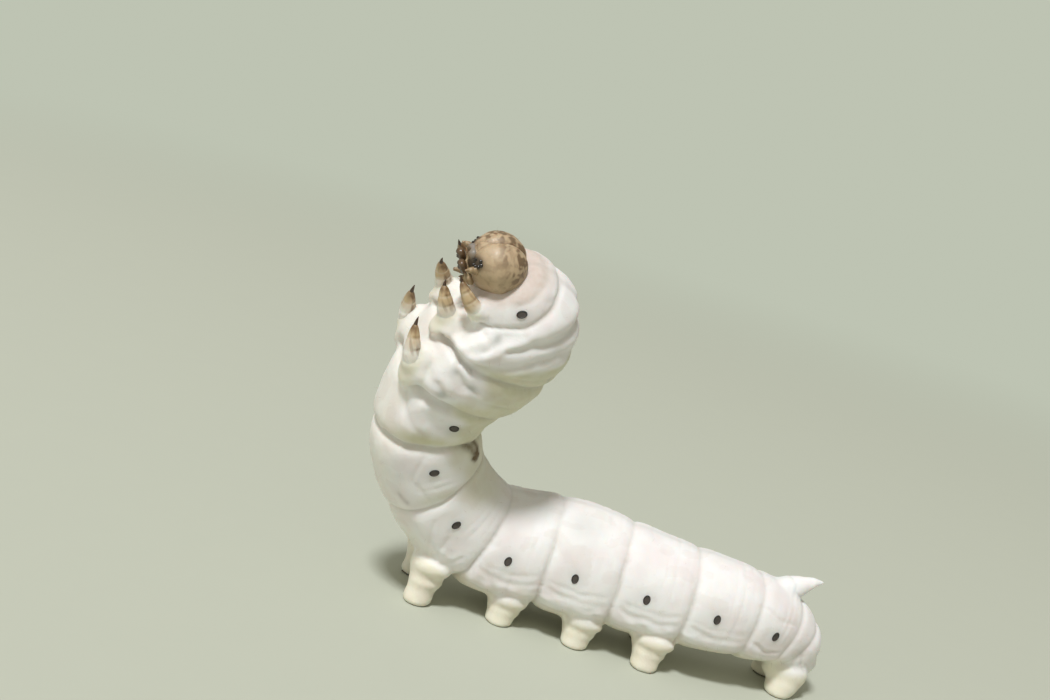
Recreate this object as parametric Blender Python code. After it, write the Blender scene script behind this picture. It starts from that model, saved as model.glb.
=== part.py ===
"""A silkworm at life size, the larva of the silk moth, early in its fifth and last stage.

It grips with its prolegs and holds its front half up and back, head curled forward.
Lengths are in millimetres and angles in degrees until a mesh is made, which is in metres.
The hind body runs along +X, the back faces +Z, and the animal's left side faces -Y.
"""

import math
from collections import namedtuple

import bmesh
import bpy
from mathutils import Matrix, Quaternion, Vector

MM = 0.001
GAP = 0.3  # between pieces that touch
CLEARANCE = 0.34  # how far the body is grown to cut what stands on it, a little over the gap
MIDDLE = Vector((-4.51, -3.1))  # middle of the footprint, measured from the middle of abdomen 6

# Sizes of the rings of the body, head first. back and belly are measured from the spine line.
# up and left say how far a ring is bent from the one behind it.
Ring = namedtuple("Ring", "name length half_width back belly up left")
RINGS = (
    Ring("thorax_1", 2.6, 3.5, 3.6, 3.0, -43, 5),
    Ring("thorax_2", 3.4, 4.7, 5.2, 3.8, -6, 5),
    Ring("thorax_3", 4.1, 4.8, 5.2, 4.3, 12, 5),
    Ring("abdomen_1", 3.7, 3.9, 4.0, 4.0, 32, 0),
    Ring("abdomen_2", 4.7, 3.9, 3.9, 4.0, 27, 6),
    Ring("abdomen_3", 5.5, 3.9, 3.9, 4.0, 36, 12),
    Ring("abdomen_4", 5.3, 4.2, 4.2, 4.1, 3, 8),
    Ring("abdomen_5", 5.5, 4.3, 4.4, 4.1, 0, 0),
    Ring("abdomen_6", 5.1, 3.9, 3.9, 3.8, -2, -8),
    Ring("abdomen_7", 4.6, 3.6, 3.6, 3.5, -9, -7),
    Ring("abdomen_8", 3.1, 3.1, 3.2, 3.1, -15, -3),
    Ring("abdomen_9", 1.4, 2.6, 2.6, 2.5, -18, 0),
    Ring("abdomen_10", 2.0, 2.2, 2.1, 2.0, 0, 0),
)
NAMES = [ring.name for ring in RINGS]
ROOT = NAMES.index("abdomen_6")  # level, and the start of the chain
SPINE_HEIGHT = 5.3  # of abdomen 6 above the floor
COLLAR = (2.35, 2.1, 2.35)  # half width, back and belly of the front edge of thorax 1
LIP = (2.95, 2.75, 2.8)  # the same a little behind it, where the skin rolls over
LIP_PLACE = 0.14
COLLAR_UP = -2
TAIL_END = (1.5, 1.1, 1.3)  # the same at the hind end, before it rounds over
SECTION_POWER = 2.15  # 2 is an ellipse, and more is squarer
FOLD_DEPTH = 0.1  # share of the size lost in the fold between two rings
FOLD_POWER = 5
CREASE_PLACE, CREASE_DEPTH, CREASE_WIDTH = 0.66, 0.022, 0.05  # the faint fold inside a ring
RIDGE_ANGLE, RIDGE_HEIGHT, RIDGE_WIDTH = -30, 0.05, 13  # the long swelling under the spiracles
AROUND = 32
STATIONS = (0, 0.13, 0.28, 0.45, 0.57, CREASE_PLACE, 0.75, 0.87, 1)

# The spiracles, the breathing holes on the sides, as low oval buttons.
SPIRACLE_RINGS = ["thorax_1"] + [f"abdomen_{n}" for n in range(1, 9)]
SPIRACLE_ANGLE = 1
SPIRACLE_PLACE = 0.4
SPIRACLE_SIZE = (0.3, 0.42, 0.16)  # half length, half height and how far it stands out

# The head, in its own frame: x out of the face, y to its left and z to the top of the head.
HEAD_UP, HEAD_LEFT = -4, 4
HEAD_HALF = Vector((1.95, 2.3, 2.12))
HEAD_AHEAD, HEAD_RISE, HEAD_SIDE = 1.0, -0.57, 0.16
HEAD_JAW_CUT = -1.6  # height of the flat under the head that carries the mouthparts
HEAD_JAW_NARROWING = 0.38
HEAD_CLEFT_DEPTH, HEAD_CLEFT_WIDTH = 0.09, 0.32
STEMMA_RADIUS = 0.18
STEMMA_RING = 0.46  # radius of the bow that the six stemmata stand on
STEMMA_CENTRE = (-28, 38)  # elevation and azimuth of the bow's centre on the head

# The mouthparts and antennae, in the head's frame: middle, half sizes.
LABRUM = ((1.4, 0, -1.18), (0.38, 0.66, 0.36))
MANDIBLE = ((0.95, 0.54, -2.04), (0.48, 0.38, 0.3))
LABIUM = ((-0.2, 0, -1.85), (0.5, 0.5, 0.42))
MAXILLA = ((-0.15, 0.62, -1.9), (0.42, 0.42, 0.36))
SPINNERET = ((0.05, 0, -2.1), (0.28, 0, -0.5), (0.3, 0.28, 0.2))  # from, way and radii
ANTENNA = ((0.85, 1.15, -1.25), (0.5, 0.5, -0.65), (0.34, 0.34, 0.3, 0.29, 0.25, 0.14))

LEG_PARTS = ((0, 0.72), (0.35, 0.7), (0.42, 0.6), (0.62, 0.54), (0.67, 0.45), (0.86, 0.34), (1, 0.12))
# forward and inward say how far a leg's tip leans that way, as shares of its length.
Leg = namedtuple("Leg", "ring place angle length forward inward size")
LEGS = (
    Leg("thorax_1", 0.6, -48, 1.5, 1.2, 0.85, 0.82),
    Leg("thorax_2", 0.66, -70, 1.9, 0.55, 0.4, 0.92),
    Leg("thorax_3", 0.75, -58, 1.7, 1.6, 0.7, 0.96),
)
LEG_SUNK = 1.0

PROLEG_RINGS = ["abdomen_3", "abdomen_4", "abdomen_5", "abdomen_6"]
PROLEG_PLACE, PROLEG_HALF_TRACK = 0.68, 2.7
PROLEG_PARTS = ((0, 1.5), (0.35, 1.5), (0.55, 1.2), (0.78, 1.02), (0.92, 1.12), (1, 0.95))
CLASPER_PLACE, CLASPER_HALF_TRACK, CLASPER_BACK_SET = 0.45, 1.75, 0.2
CLASPER_PARTS = ((0, 0.85), (0.4, 1.0), (0.65, 1.0), (0.85, 1.15), (1, 1.0))
FOOT_ANGLE = -60
FOOT_SUNK = 0.25
HORN_PLACE, HORN_LENGTH, HORN_RADIUS = 0.55, 2.9, 0.85
HORN_LEAN = 62  # back from straight up
HORN_SAG, HORN_SAG_END = 0.45, 0.75  # how far its root sinks towards the tail, and where that ends
HORN_PARTS = ((-0.45, 1.35), (0, 1.2), (0.18, 0.85), (0.42, 0.55), (0.75, 0.34), (1, 0.18))

# Colour and roughness of each kind of surface.
LOOKS = {
    "skin": ((0.84, 0.82, 0.78), 0.5),
    "head": ((0.5, 0.36, 0.22), 0.4),
    "leg": ((0.66, 0.5, 0.3), 0.45),
    "mouth": ((0.12, 0.07, 0.04), 0.35),
}
SHARP_ANGLE = 50


def clear_scene():
    for obj in list(bpy.data.objects):
        bpy.data.objects.remove(obj)


def make_material(name, look):
    colour, roughness = LOOKS[look]
    material = bpy.data.materials.new(name)
    material.use_nodes = True
    shader = material.node_tree.nodes["Principled BSDF"]
    shader.inputs["Base Color"].default_value = (*colour, 1)
    shader.inputs["Roughness"].default_value = roughness
    shader.inputs["Metallic"].default_value = 0
    return material


def bend(up, left):
    """The turn from a ring to the one in front of it, in the hind ring's own axes."""
    return Quaternion((0, 1, 0), -math.radians(up)) @ Quaternion((0, 0, 1), math.radians(left))


def axes(turn):
    """The forward, left and back directions of a ring with that turn."""
    return turn @ Vector((1, 0, 0)), turn @ Vector((0, 1, 0)), turn @ Vector((0, 0, 1))


def make_chain():
    """The turn of each ring, and the points where they meet, worked out from abdomen 6 both ways."""
    turns = {ROOT: Matrix(((-1, 0, 0), (0, -1, 0), (0, 0, 1))).to_quaternion()}
    for i in range(ROOT - 1, -1, -1):
        turns[i] = turns[i + 1] @ bend(RINGS[i].up, RINGS[i].left)
    for i in range(ROOT + 1, len(RINGS)):
        turns[i] = turns[i - 1] @ bend(RINGS[i - 1].up, RINGS[i - 1].left).inverted()
    middle = Vector((0, 0, SPINE_HEIGHT))
    ends = {ROOT: middle + axes(turns[ROOT])[0] * RINGS[ROOT].length / 2}
    for i in range(ROOT - 1, -1, -1):
        ends[i] = ends[i + 1] + axes(turns[i])[0] * RINGS[i].length
    for i in range(ROOT, len(RINGS)):
        ends[i + 1] = ends[i] - axes(turns[i])[0] * RINGS[i].length
    joint_turns = [turns[0] @ bend(COLLAR_UP, 0)]
    for i in range(1, len(RINGS)):
        joint_turns.append(turns[i - 1].slerp(turns[i], 0.5))
    joint_turns.append(turns[len(RINGS) - 1])
    return joint_turns, [ends[i] for i in range(len(RINGS) + 1)]


JOINT_TURNS, JOINT_POINTS = make_chain()


def spine(s):
    """The point and turn of the spine at s, which counts rings from the front of thorax 1."""
    i = min(max(int(math.floor(s)), 0), len(RINGS) - 1)
    f = s - i
    start, end = JOINT_POINTS[i], JOINT_POINTS[i + 1]
    length = RINGS[i].length
    out_of_start = -axes(JOINT_TURNS[i])[0] * length
    into_end = -axes(JOINT_TURNS[i + 1])[0] * length
    point = (
        start * (2 * f**3 - 3 * f**2 + 1)
        + out_of_start * (f**3 - 2 * f**2 + f)
        + end * (3 * f**2 - 2 * f**3)
        + into_end * (f**3 - f**2)
    )
    return point, JOINT_TURNS[i].slerp(JOINT_TURNS[i + 1], f)


def smooth_through(values, s):
    """A smooth curve through the values of the two ends, the lip and the rings' middles."""
    i = max(k for k in range(len(PLACES) - 1) if PLACES[k] <= s or k == 0)
    step = PLACES[i + 1] - PLACES[i]
    f = (s - PLACES[i]) / step
    before, after = max(i - 1, 0), min(i + 2, len(PLACES) - 1)
    slope_in = (values[i + 1] - values[before]) / (PLACES[i + 1] - PLACES[before]) * step
    slope_out = (values[after] - values[i]) / (PLACES[after] - PLACES[i]) * step
    return (
        values[i] * (2 * f**3 - 3 * f**2 + 1)
        + slope_in * (f**3 - 2 * f**2 + f)
        + values[i + 1] * (3 * f**2 - 2 * f**3)
        + slope_out * (f**3 - f**2)
    )


WIDTHS = [COLLAR[0], LIP[0]] + [ring.half_width for ring in RINGS] + [TAIL_END[0]]
BACKS = [COLLAR[1], LIP[1]] + [ring.back for ring in RINGS] + [TAIL_END[1]]
BELLIES = [COLLAR[2], LIP[2]] + [ring.belly for ring in RINGS] + [TAIL_END[2]]
PLACES = [0, LIP_PLACE] + [i + 0.5 for i in range(len(RINGS))] + [len(RINGS)]


def fold(s):
    """The share of its size that the body keeps at s: less in the folds between rings."""
    f = s - math.floor(s)
    if s <= 0 or s >= len(RINGS):
        f = 0.5
    edge = abs(2 * f - 1) ** FOLD_POWER
    if s < 0.5 or s > len(RINGS) - 0.5:
        edge = 0
    crease = math.exp(-(((f - CREASE_PLACE) / CREASE_WIDTH) ** 2))
    return 1 - FOLD_DEPTH * edge - CREASE_DEPTH * crease


def ridge(angle):
    """How much the long swelling on each side widens the body at that angle."""
    from_ridge = min(abs(angle - RIDGE_ANGLE), abs(180 - angle - RIDGE_ANGLE))
    return 1 + RIDGE_HEIGHT * math.exp(-((from_ridge / RIDGE_WIDTH) ** 2))


def skin_point(s, angle, off=0.0):
    """A point of the skin. angle is 0 on the left side, 90 on the back and -90 under the belly."""
    angle = (angle + 90) % 360 - 90
    point, turn = spine(s)
    _, left, back = axes(turn)
    across, up = math.cos(math.radians(angle)), math.sin(math.radians(angle))
    power = 2 / SECTION_POWER
    height = smooth_through(BACKS if up > 0 else BELLIES, s)
    size = fold(s) * ridge(angle)
    x = math.copysign(abs(across) ** power, across) * smooth_through(WIDTHS, s) * size
    z = math.copysign(abs(up) ** power, up) * height * size
    out = Vector((x, z))
    out *= 1 + off / max(out.length, 1e-6)
    return point + left * out.x + back * out.y


def skin_normal(s, angle):
    """The way out of the skin at a point of it."""
    step = 0.5
    along = skin_point(s + 0.05, angle) - skin_point(s - 0.05, angle)
    around = skin_point(s, angle + step) - skin_point(s, angle - step)
    return along.cross(around).normalized()


def new_object(name, points, faces, look):
    """An object of those points, in millimetres, with its origin in their middle."""
    mesh = bpy.data.meshes.new(name)
    origin = sum(points, Vector()) / len(points)
    mesh.from_pydata([(point - origin) * MM for point in points], [], faces)
    mesh.materials.append(make_material(name, look))
    obj = bpy.data.objects.new(name, mesh)
    obj.location = (origin - Vector((MIDDLE.x, MIDDLE.y, 0))) * MM
    bpy.context.scene.collection.objects.link(obj)
    edit = bmesh.new()
    edit.from_mesh(mesh)
    bmesh.ops.remove_doubles(edit, verts=edit.verts, dist=1e-6)
    bmesh.ops.recalc_face_normals(edit, faces=edit.faces)
    if edit.calc_volume(signed=True) < 0:
        bmesh.ops.reverse_faces(edit, faces=edit.faces)
    edit.to_mesh(mesh)
    edit.free()
    return obj


def loft(name, loops, look, start=None, end=None):
    """A closed skin through loops of points, its ends flat, or drawn to a point."""
    around = len(loops[0])
    points = [point for loop in loops for point in loop]
    faces = []
    for k in range(len(loops) - 1):
        for j in range(around):
            a, b = k * around + j, k * around + (j + 1) % around
            faces.append((a, b, b + around, a + around))
    for tip, loop_start in ((start, 0), (end, (len(loops) - 1) * around)):
        loop = [loop_start + j for j in range(around)]
        if tip is None:
            faces.append(tuple(loop))
        else:
            points.append(tip)
            faces += [(loop[j], loop[(j + 1) % around], len(points) - 1) for j in range(around)]
    return new_object(name, points, faces, look)


def keep_largest(mesh):
    """Drops all but the largest closed surface of a mesh."""
    edit = bmesh.new()
    edit.from_mesh(mesh)
    left, groups = set(edit.verts), []
    while left:
        group, front = set(), [left.pop()]
        while front:
            vert = front.pop()
            group.add(vert)
            for edge in vert.link_edges:
                other = edge.other_vert(vert)
                if other in left:
                    left.remove(other)
                    front.append(other)
        groups.append(group)
    largest = max(groups, key=len)
    bmesh.ops.delete(edit, geom=[v for v in edit.verts if v not in largest], context="VERTS")
    edit.to_mesh(mesh)
    edit.free()


def combine(obj, others, operation):
    """Joins the others to obj, or cuts them from it, and removes them."""
    group = bpy.data.collections.new(f"{obj.name}_pieces")
    for other in others:
        group.objects.link(other)
        other.hide_render = True
    modifier = obj.modifiers.new("combine", "BOOLEAN")
    modifier.operation = operation
    modifier.solver = "EXACT"
    modifier.operand_type = "COLLECTION"
    modifier.collection = group
    bpy.context.view_layer.update()
    done = bpy.data.meshes.new_from_object(obj.evaluated_get(bpy.context.evaluated_depsgraph_get()))
    obj.modifiers.clear()
    obj.data = done
    keep_largest(done)
    for other in others:
        bpy.data.objects.remove(other)
    bpy.data.collections.remove(group)


def body_loops(steps, off=0.0):
    """Loops of skin points at those places along the spine, set off outward."""
    return [[skin_point(s, 360 * j / AROUND, off) for j in range(AROUND)] for s in steps]


def tail_cap(off=0.0):
    """Loops that round the hind end over, and its last point."""
    point, turn = spine(len(RINGS))
    forward, left, back = axes(turn)
    loops = []
    for share in (0.45, 0.8):
        shrink, out = math.cos(share * math.pi / 2), math.sin(share * math.pi / 2)
        rim = [skin_point(len(RINGS), 360 * j / AROUND, off) for j in range(AROUND)]
        loops.append([point + (p - point) * shrink - forward * out * (TAIL_END[1] + off) for p in rim])
    return loops, point - forward * (TAIL_END[1] + off)


def make_envelope(name):
    """The whole body grown by the gap, to cut from what grows out of it."""
    steps = sorted({i + f for i in range(len(RINGS)) for f in STATIONS})
    loops = body_loops(steps, CLEARANCE)
    cap, tip = tail_cap(CLEARANCE)
    loops[0] = [p + axes(JOINT_TURNS[0])[0] * CLEARANCE for p in loops[0]]
    return loft(name, loops + cap, "skin", end=tip)


def spiracle_button(ring, side):
    """A low oval on the side of the ring, its root sunk in the skin."""
    s = NAMES.index(ring) + SPIRACLE_PLACE
    angle = SPIRACLE_ANGLE if side > 0 else 180 - SPIRACLE_ANGLE
    centre, normal = skin_point(s, angle), skin_normal(s, angle)
    forward = axes(spine(s)[1])[0]
    along = (forward - normal * forward.dot(normal)).normalized()
    up = normal.cross(along)
    half_length, half_height, proud = SPIRACLE_SIZE
    loops = []
    for depth, share in ((-0.5, 1), (proud * 0.6, 1), (proud, 0.7)):
        loops.append([
            centre + normal * depth
            + along * (math.cos(a) * half_length * share)
            + up * (math.sin(a) * half_height * share)
            for a in (2 * math.pi * k / 10 for k in range(10))
        ])
    return loft("spiracle", loops, "skin")


def make_ring(index):
    """One ring of the body, set apart from its neighbours by the gap."""
    ring = RINGS[index]
    loops = body_loops([index + f for f in STATIONS])
    tip = None
    if index > 0:
        loops[0] = [p - axes(JOINT_TURNS[index])[0] * GAP / 2 for p in loops[0]]
    if index < len(RINGS) - 1:
        loops[-1] = [p + axes(JOINT_TURNS[index + 1])[0] * GAP / 2 for p in loops[-1]]
    else:
        cap, tip = tail_cap()
        loops += cap
    obj = loft(ring.name, loops, "skin", end=tip)
    if ring.name in SPIRACLE_RINGS:
        combine(obj, [spiracle_button(ring.name, side) for side in (1, -1)], "UNION")
    return obj


def head_frame():
    """The middle of the head and its directions out of the face, to its left and to its top."""
    turn = JOINT_TURNS[0] @ bend(HEAD_UP - COLLAR_UP, HEAD_LEFT)
    forward, left, top = axes(turn)
    centre = JOINT_POINTS[0] + forward * HEAD_AHEAD + top * HEAD_RISE + left * HEAD_SIDE
    return centre, forward, left, top


def head_point(elevation, azimuth, off=0.0):
    """A point of the head's shell. azimuth is 0 at the face and 90 on the head's left."""
    e, a = math.radians(elevation), math.radians(azimuth)
    way = Vector((math.cos(e) * math.cos(a), math.cos(e) * math.sin(a), math.sin(e)))
    x, y, z = (way[k] * HEAD_HALF[k] for k in range(3))
    cleft = HEAD_CLEFT_DEPTH * math.exp(-((y / HEAD_CLEFT_WIDTH) ** 2)) * max(0.0, min(1.0, z / 1.2 + 0.6))
    below = max(0.0, -z / HEAD_HALF.z)
    y *= 1 - HEAD_JAW_NARROWING * below
    local = Vector((x, y, z)) * (1 - cleft)
    local += way * off
    local.z = max(local.z, HEAD_JAW_CUT - off)
    centre, forward, left, top = head_frame()
    return centre + forward * local.x + left * local.y + top * local.z


def head_local(x, y, z):
    """A point given in the head's own frame."""
    centre, forward, left, top = head_frame()
    return centre + forward * x + left * y + top * z


def head_shell(name, off, around=28, levels=15):
    loops = []
    for k in range(1, levels):
        elevation = 90 - 180 * k / levels
        loops.append([head_point(elevation, 360 * j / around, off) for j in range(around)])
    return loft(name, loops, "head", start=head_point(90, 0, off), end=head_point(-90, 0, off))


def ball(centre, radius):
    """A small faceted ball."""
    edit = bmesh.new()
    bmesh.ops.create_icosphere(edit, subdivisions=2, radius=radius)
    points = [centre + vert.co for vert in edit.verts]
    faces = [tuple(vert.index for vert in face.verts) for face in edit.faces]
    edit.free()
    return new_object("ball", points, faces, "mouth")


def stemma_points(side):
    """Five of the six small eyes stand on a bow, and the sixth behind it."""
    elevation, azimuth = STEMMA_CENTRE
    spots = [(math.radians(40 * k - 60), 1.0) for k in range(5)] + [(math.radians(190), 0.9)]
    per_mm = math.degrees(1 / HEAD_HALF.y)
    return [
        head_point(
            elevation + math.sin(a) * STEMMA_RING * share * per_mm,
            side * (azimuth + math.cos(a) * STEMMA_RING * share * per_mm),
        )
        for a, share in spots
    ]


def pad(name, shape, side=1, grown=0.0, look="mouth"):
    """A rounded block of the head, given by its middle and half sizes."""
    middle, half = shape
    around, levels, power = 14, 8, 0.75
    loops = []
    for k in range(levels + 1):
        e = math.pi * (0.5 - (k + 0.35) / (levels + 0.7))
        loop = []
        for j in range(around):
            a = 2 * math.pi * j / around
            way = (math.cos(e) * math.cos(a), math.cos(e) * math.sin(a), math.sin(e))
            x, y, z = (math.copysign(abs(w) ** power, w) * (h + grown) for w, h in zip(way, half))
            loop.append(head_local(middle[0] + x, (middle[1] + y) * side, middle[2] + z))
        loops.append(loop)
    return loft(name, loops, look)


def spike(name, shape, side=1, grown=0.0, look="leg"):
    """A short tapering limb of the head, given by its root, its way and its radii."""
    root, way, radii = shape
    root, way = Vector(root), Vector(way)
    root -= way.normalized() * grown
    centres = [root + way * k / (len(radii) - 1) for k in range(len(radii))]
    centres = [head_local(c.x, c.y * side, c.z) for c in centres]
    radii = [r + grown for r in radii]
    return tapered(name, centres, radii, look, toward=head_frame()[1], around=10, point=True)


def make_head():
    """The head's shell with its small eyes, and pockets that its mouthparts stand in."""
    head = head_shell("head_capsule", 0)
    beads = [ball(point, STEMMA_RADIUS) for side in (1, -1) for point in stemma_points(side)]
    combine(head, beads, "UNION")
    pockets = [pad("pocket", LABRUM, 1, GAP), pad("pocket", LABIUM, 1, GAP)]
    for side in (1, -1):
        pockets += [
            pad("pocket", MANDIBLE, side, GAP),
            pad("pocket", MAXILLA, side, GAP),
            spike("pocket", ANTENNA, side, GAP),
        ]
    combine(head, pockets, "DIFFERENCE")


def make_mouthparts():
    pad("labrum", LABRUM)
    labium = pad("labium", LABIUM)
    lobes = [pad("lobe", MAXILLA, side) for side in (1, -1)]
    combine(labium, lobes + [spike("spinneret", SPINNERET)], "UNION")
    for side, word in ((1, "left"), (-1, "right")):
        pad(f"mandible_{word}", MANDIBLE, side)
        spike(f"antenna_{word}", ANTENNA, side)


def tapered(name, centres, radii, look, toward, around=12, point=False, level=0):
    """A limb of round loops along a bent line. The last few loops can be level."""
    loops = []
    for k, (centre, radius) in enumerate(zip(centres, radii)):
        ahead = (centres[min(k + 1, len(centres) - 1)] - centres[max(k - 1, 0)]).normalized()
        if k >= len(centres) - level:
            ahead = Vector((0, 0, -1))
        u = (toward - ahead * toward.dot(ahead)).normalized()
        v = ahead.cross(u)
        loops.append([
            centre + u * (math.cos(a) * radius) + v * (math.sin(a) * radius)
            for a in (2 * math.pi * j / around for j in range(around))
        ])
    tip = centres[-1] + (centres[-1] - centres[-2]).normalized() * radii[-1] if point else None
    return loft(name, loops, look, end=tip)


def make_leg(shape, side):
    """A true leg: three tapering parts and a claw, bent forward and in towards its fellow."""
    s = NAMES.index(shape.ring) + shape.place
    angle = shape.angle if side > 0 else 180 - shape.angle
    root = skin_point(s, angle)
    out = skin_normal(s, angle)
    forward, left, back = axes(spine(s)[1])
    inward = -left * side
    centres, radii = [root - out * LEG_SUNK], [LEG_PARTS[0][1] * shape.size]
    for share, radius in LEG_PARTS:
        lean = out * share + forward * shape.forward * share**1.5 + inward * shape.inward * share**2
        centres.append(root + lean * shape.length)
        radii.append(radius * shape.size)
    name = f"leg_{shape.ring[-1]}_{'left' if side > 0 else 'right'}"
    leg = tapered(name, centres, radii, "leg", toward=forward, point=True)
    combine(leg, [make_envelope("envelope"), head_shell("head_grown", GAP)], "DIFFERENCE")


def make_foot(name, s, side, half_track, back_set, parts):
    """A soft foot from the side of the belly down to the floor, flat underneath."""
    angle = FOOT_ANGLE if side > 0 else 180 - FOOT_ANGLE
    root = skin_point(s, angle)
    point = spine(s)[0]
    left = axes(spine(s)[1])[1]
    start = root + (point - root) * FOOT_SUNK
    foot = Vector((root.x + back_set, point.y + left.y * side * half_track, 0))
    centres = [start + (foot - start) * share for share, _ in parts]
    radii = [radius for _, radius in parts]
    obj = tapered(name, centres, radii, "skin", toward=Vector((1, 0, 0)), around=16, level=3)
    combine(obj, [make_envelope("envelope")], "DIFFERENCE")


def make_horn():
    """The horn on the back of abdomen 8, leaning back."""
    s = NAMES.index("abdomen_8") + HORN_PLACE
    root = skin_point(s, 90)
    forward, left, back = axes(spine(s)[1])
    lean = math.radians(HORN_LEAN)
    way = back * math.cos(lean) - forward * math.sin(lean)
    under = -back * math.sin(lean) - forward * math.cos(lean)
    sags = [HORN_SAG * min(1, 1 - share / HORN_SAG_END) for share, _ in HORN_PARTS]
    centres = [
        root + way * (HORN_LENGTH * share) + under * max(sag, 0)
        for (share, _), sag in zip(HORN_PARTS, sags)
    ]
    radii = [HORN_RADIUS * size for _, size in HORN_PARTS]
    horn = tapered("horn", centres, radii, "skin", toward=left, point=True)
    combine(horn, [make_envelope("envelope")], "DIFFERENCE")


def shade_smooth():
    for obj in bpy.data.objects:
        obj.data.shade_smooth()
        obj.data.set_sharp_from_angle(angle=math.radians(SHARP_ANGLE))


def main():
    clear_scene()
    for index in range(len(RINGS)):
        make_ring(index)
    make_head()
    make_mouthparts()
    combine(bpy.data.objects["thorax_1"], [head_shell("head_grown", GAP)], "DIFFERENCE")
    for shape in LEGS:
        for side in (1, -1):
            make_leg(shape, side)
    for side, word in ((1, "left"), (-1, "right")):
        for ring in PROLEG_RINGS:
            s = NAMES.index(ring) + PROLEG_PLACE
            make_foot(f"proleg_{ring[-1]}_{word}", s, side, PROLEG_HALF_TRACK, 0, PROLEG_PARTS)
        s = NAMES.index("abdomen_10") + CLASPER_PLACE
        make_foot(f"anal_proleg_{word}", s, side, CLASPER_HALF_TRACK, CLASPER_BACK_SET, CLASPER_PARTS)
    make_horn()
    shade_smooth()


main()
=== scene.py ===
"""The looks of a silkworm: its skin, head, legs, spiracles, hooks and hairs, with floor, light and camera.

Shapes are made in millimetres, in the frame of the part's source, and set in metres at the end.
"""

import math
import random
from collections import namedtuple
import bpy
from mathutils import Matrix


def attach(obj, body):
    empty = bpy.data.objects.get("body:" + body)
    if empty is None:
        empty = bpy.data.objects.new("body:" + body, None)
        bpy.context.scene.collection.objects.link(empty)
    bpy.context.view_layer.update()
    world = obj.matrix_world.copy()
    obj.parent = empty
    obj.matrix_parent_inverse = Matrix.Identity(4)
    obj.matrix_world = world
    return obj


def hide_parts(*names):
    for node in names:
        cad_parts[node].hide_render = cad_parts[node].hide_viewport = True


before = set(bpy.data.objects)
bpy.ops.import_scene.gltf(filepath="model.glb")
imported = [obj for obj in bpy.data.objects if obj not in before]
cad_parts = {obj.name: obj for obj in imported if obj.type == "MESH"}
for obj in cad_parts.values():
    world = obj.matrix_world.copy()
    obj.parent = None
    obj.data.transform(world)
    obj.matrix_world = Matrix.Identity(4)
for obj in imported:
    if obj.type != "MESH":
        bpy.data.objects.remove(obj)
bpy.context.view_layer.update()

from types import SimpleNamespace

import bmesh
import bpy
import numpy as np
from bpy.props import FloatProperty, FloatVectorProperty, IntProperty, PointerProperty
from mathutils import Matrix, Quaternion, Vector, kdtree, noise
from mathutils.bvhtree import BVHTree

bl_info = {
    "name": "Silkworm",
    "version": (1, 0, 0),
    "blender": (4, 5, 0),
    "location": "3D View > Sidebar > Silkworm",
    "description": "Models a silk moth's larva, piece by piece, over its packed solids",
    "category": "Object",
}

MM = 0.001
MIDDLE = Vector((-4.51, -3.1, 0))  # of the footprint, in millimetres
WAYS = (Vector((1, 0, 0)), Vector((0, 1, 0)), Vector((0, 0, 1)))  # to the tail, to the right side and up
SIDES = ((1, "left"), (-1, "right"))

# The rings of the body, head first, as in the part's source: sizes, and degrees of turn from the ring behind.
Ring = namedtuple("Ring", "name length half_width back belly up left")
RINGS = (
    Ring("thorax_1", 2.6, 3.5, 3.6, 3.0, -43, 5),
    Ring("thorax_2", 3.4, 4.7, 5.2, 3.8, -6, 5),
    Ring("thorax_3", 4.1, 4.8, 5.2, 4.3, 12, 5),
    Ring("abdomen_1", 3.7, 3.9, 4.0, 4.0, 32, 0),
    Ring("abdomen_2", 4.7, 3.9, 3.9, 4.0, 27, 6),
    Ring("abdomen_3", 5.5, 3.9, 3.9, 4.0, 36, 12),
    Ring("abdomen_4", 5.3, 4.2, 4.2, 4.1, 3, 8),
    Ring("abdomen_5", 5.5, 4.3, 4.4, 4.1, 0, 0),
    Ring("abdomen_6", 5.1, 3.9, 3.9, 3.8, -2, -8),
    Ring("abdomen_7", 4.6, 3.6, 3.6, 3.5, -9, -7),
    Ring("abdomen_8", 3.1, 3.1, 3.2, 3.1, -15, -3),
    Ring("abdomen_9", 1.4, 2.6, 2.6, 2.5, -18, 0),
    Ring("abdomen_10", 2.0, 2.2, 2.1, 2.0, 0, 0),
)
NAMES = [ring.name for ring in RINGS]
COUNT = len(RINGS)
ROOT = NAMES.index("abdomen_6")
SPINE_HEIGHT = 5.3

# Half width, back and belly of the front edge of thorax 1, of the lip behind it and of the hind end.
COLLAR, LIP, TAIL_END = (2.35, 2.1, 2.35), (2.95, 2.75, 2.8), (1.5, 1.1, 1.3)
LIP_PLACE, COLLAR_UP = 0.14, -2

# Loops of the skin inside the head, as shares of the collar and places ahead of it, and where they meet.
COLLAR_LOOPS, COLLAR_TIP = ((0.9, 0.12), (0.72, 0.2)), 0.25
TAIL_LOOPS = (0.2, 0.4, 0.6, 0.78, 0.92)  # of the rounded hind end, as shares of a quarter turn
SECTION_POWER = 2.15
FOLD_DEPTH, ABDOMEN_FOLD_DEPTH, FOLD_POWER = 0.055, 0.035, 5  # shallower than in the solids
RIDGE_ANGLE, RIDGE_HEIGHT, RIDGE_WIDTH = -30, 0.05, 13
SPIRACLE_RINGS = ["thorax_1"] + [f"abdomen_{n}" for n in range(1, 9)]
SPIRACLE_ANGLE, SPIRACLE_PLACE = 1, 0.4

# How far single spiracles stand off that place and angle, in rings and degrees.
SPIRACLE_SHIFTS = {"thorax_1": (0.0, 5), "abdomen_1": (0.02, 8), "abdomen_8": (0.12, 0)}
SPIRACLE_HALO = 0.62  # how wide the grey tint round each of them is

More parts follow.
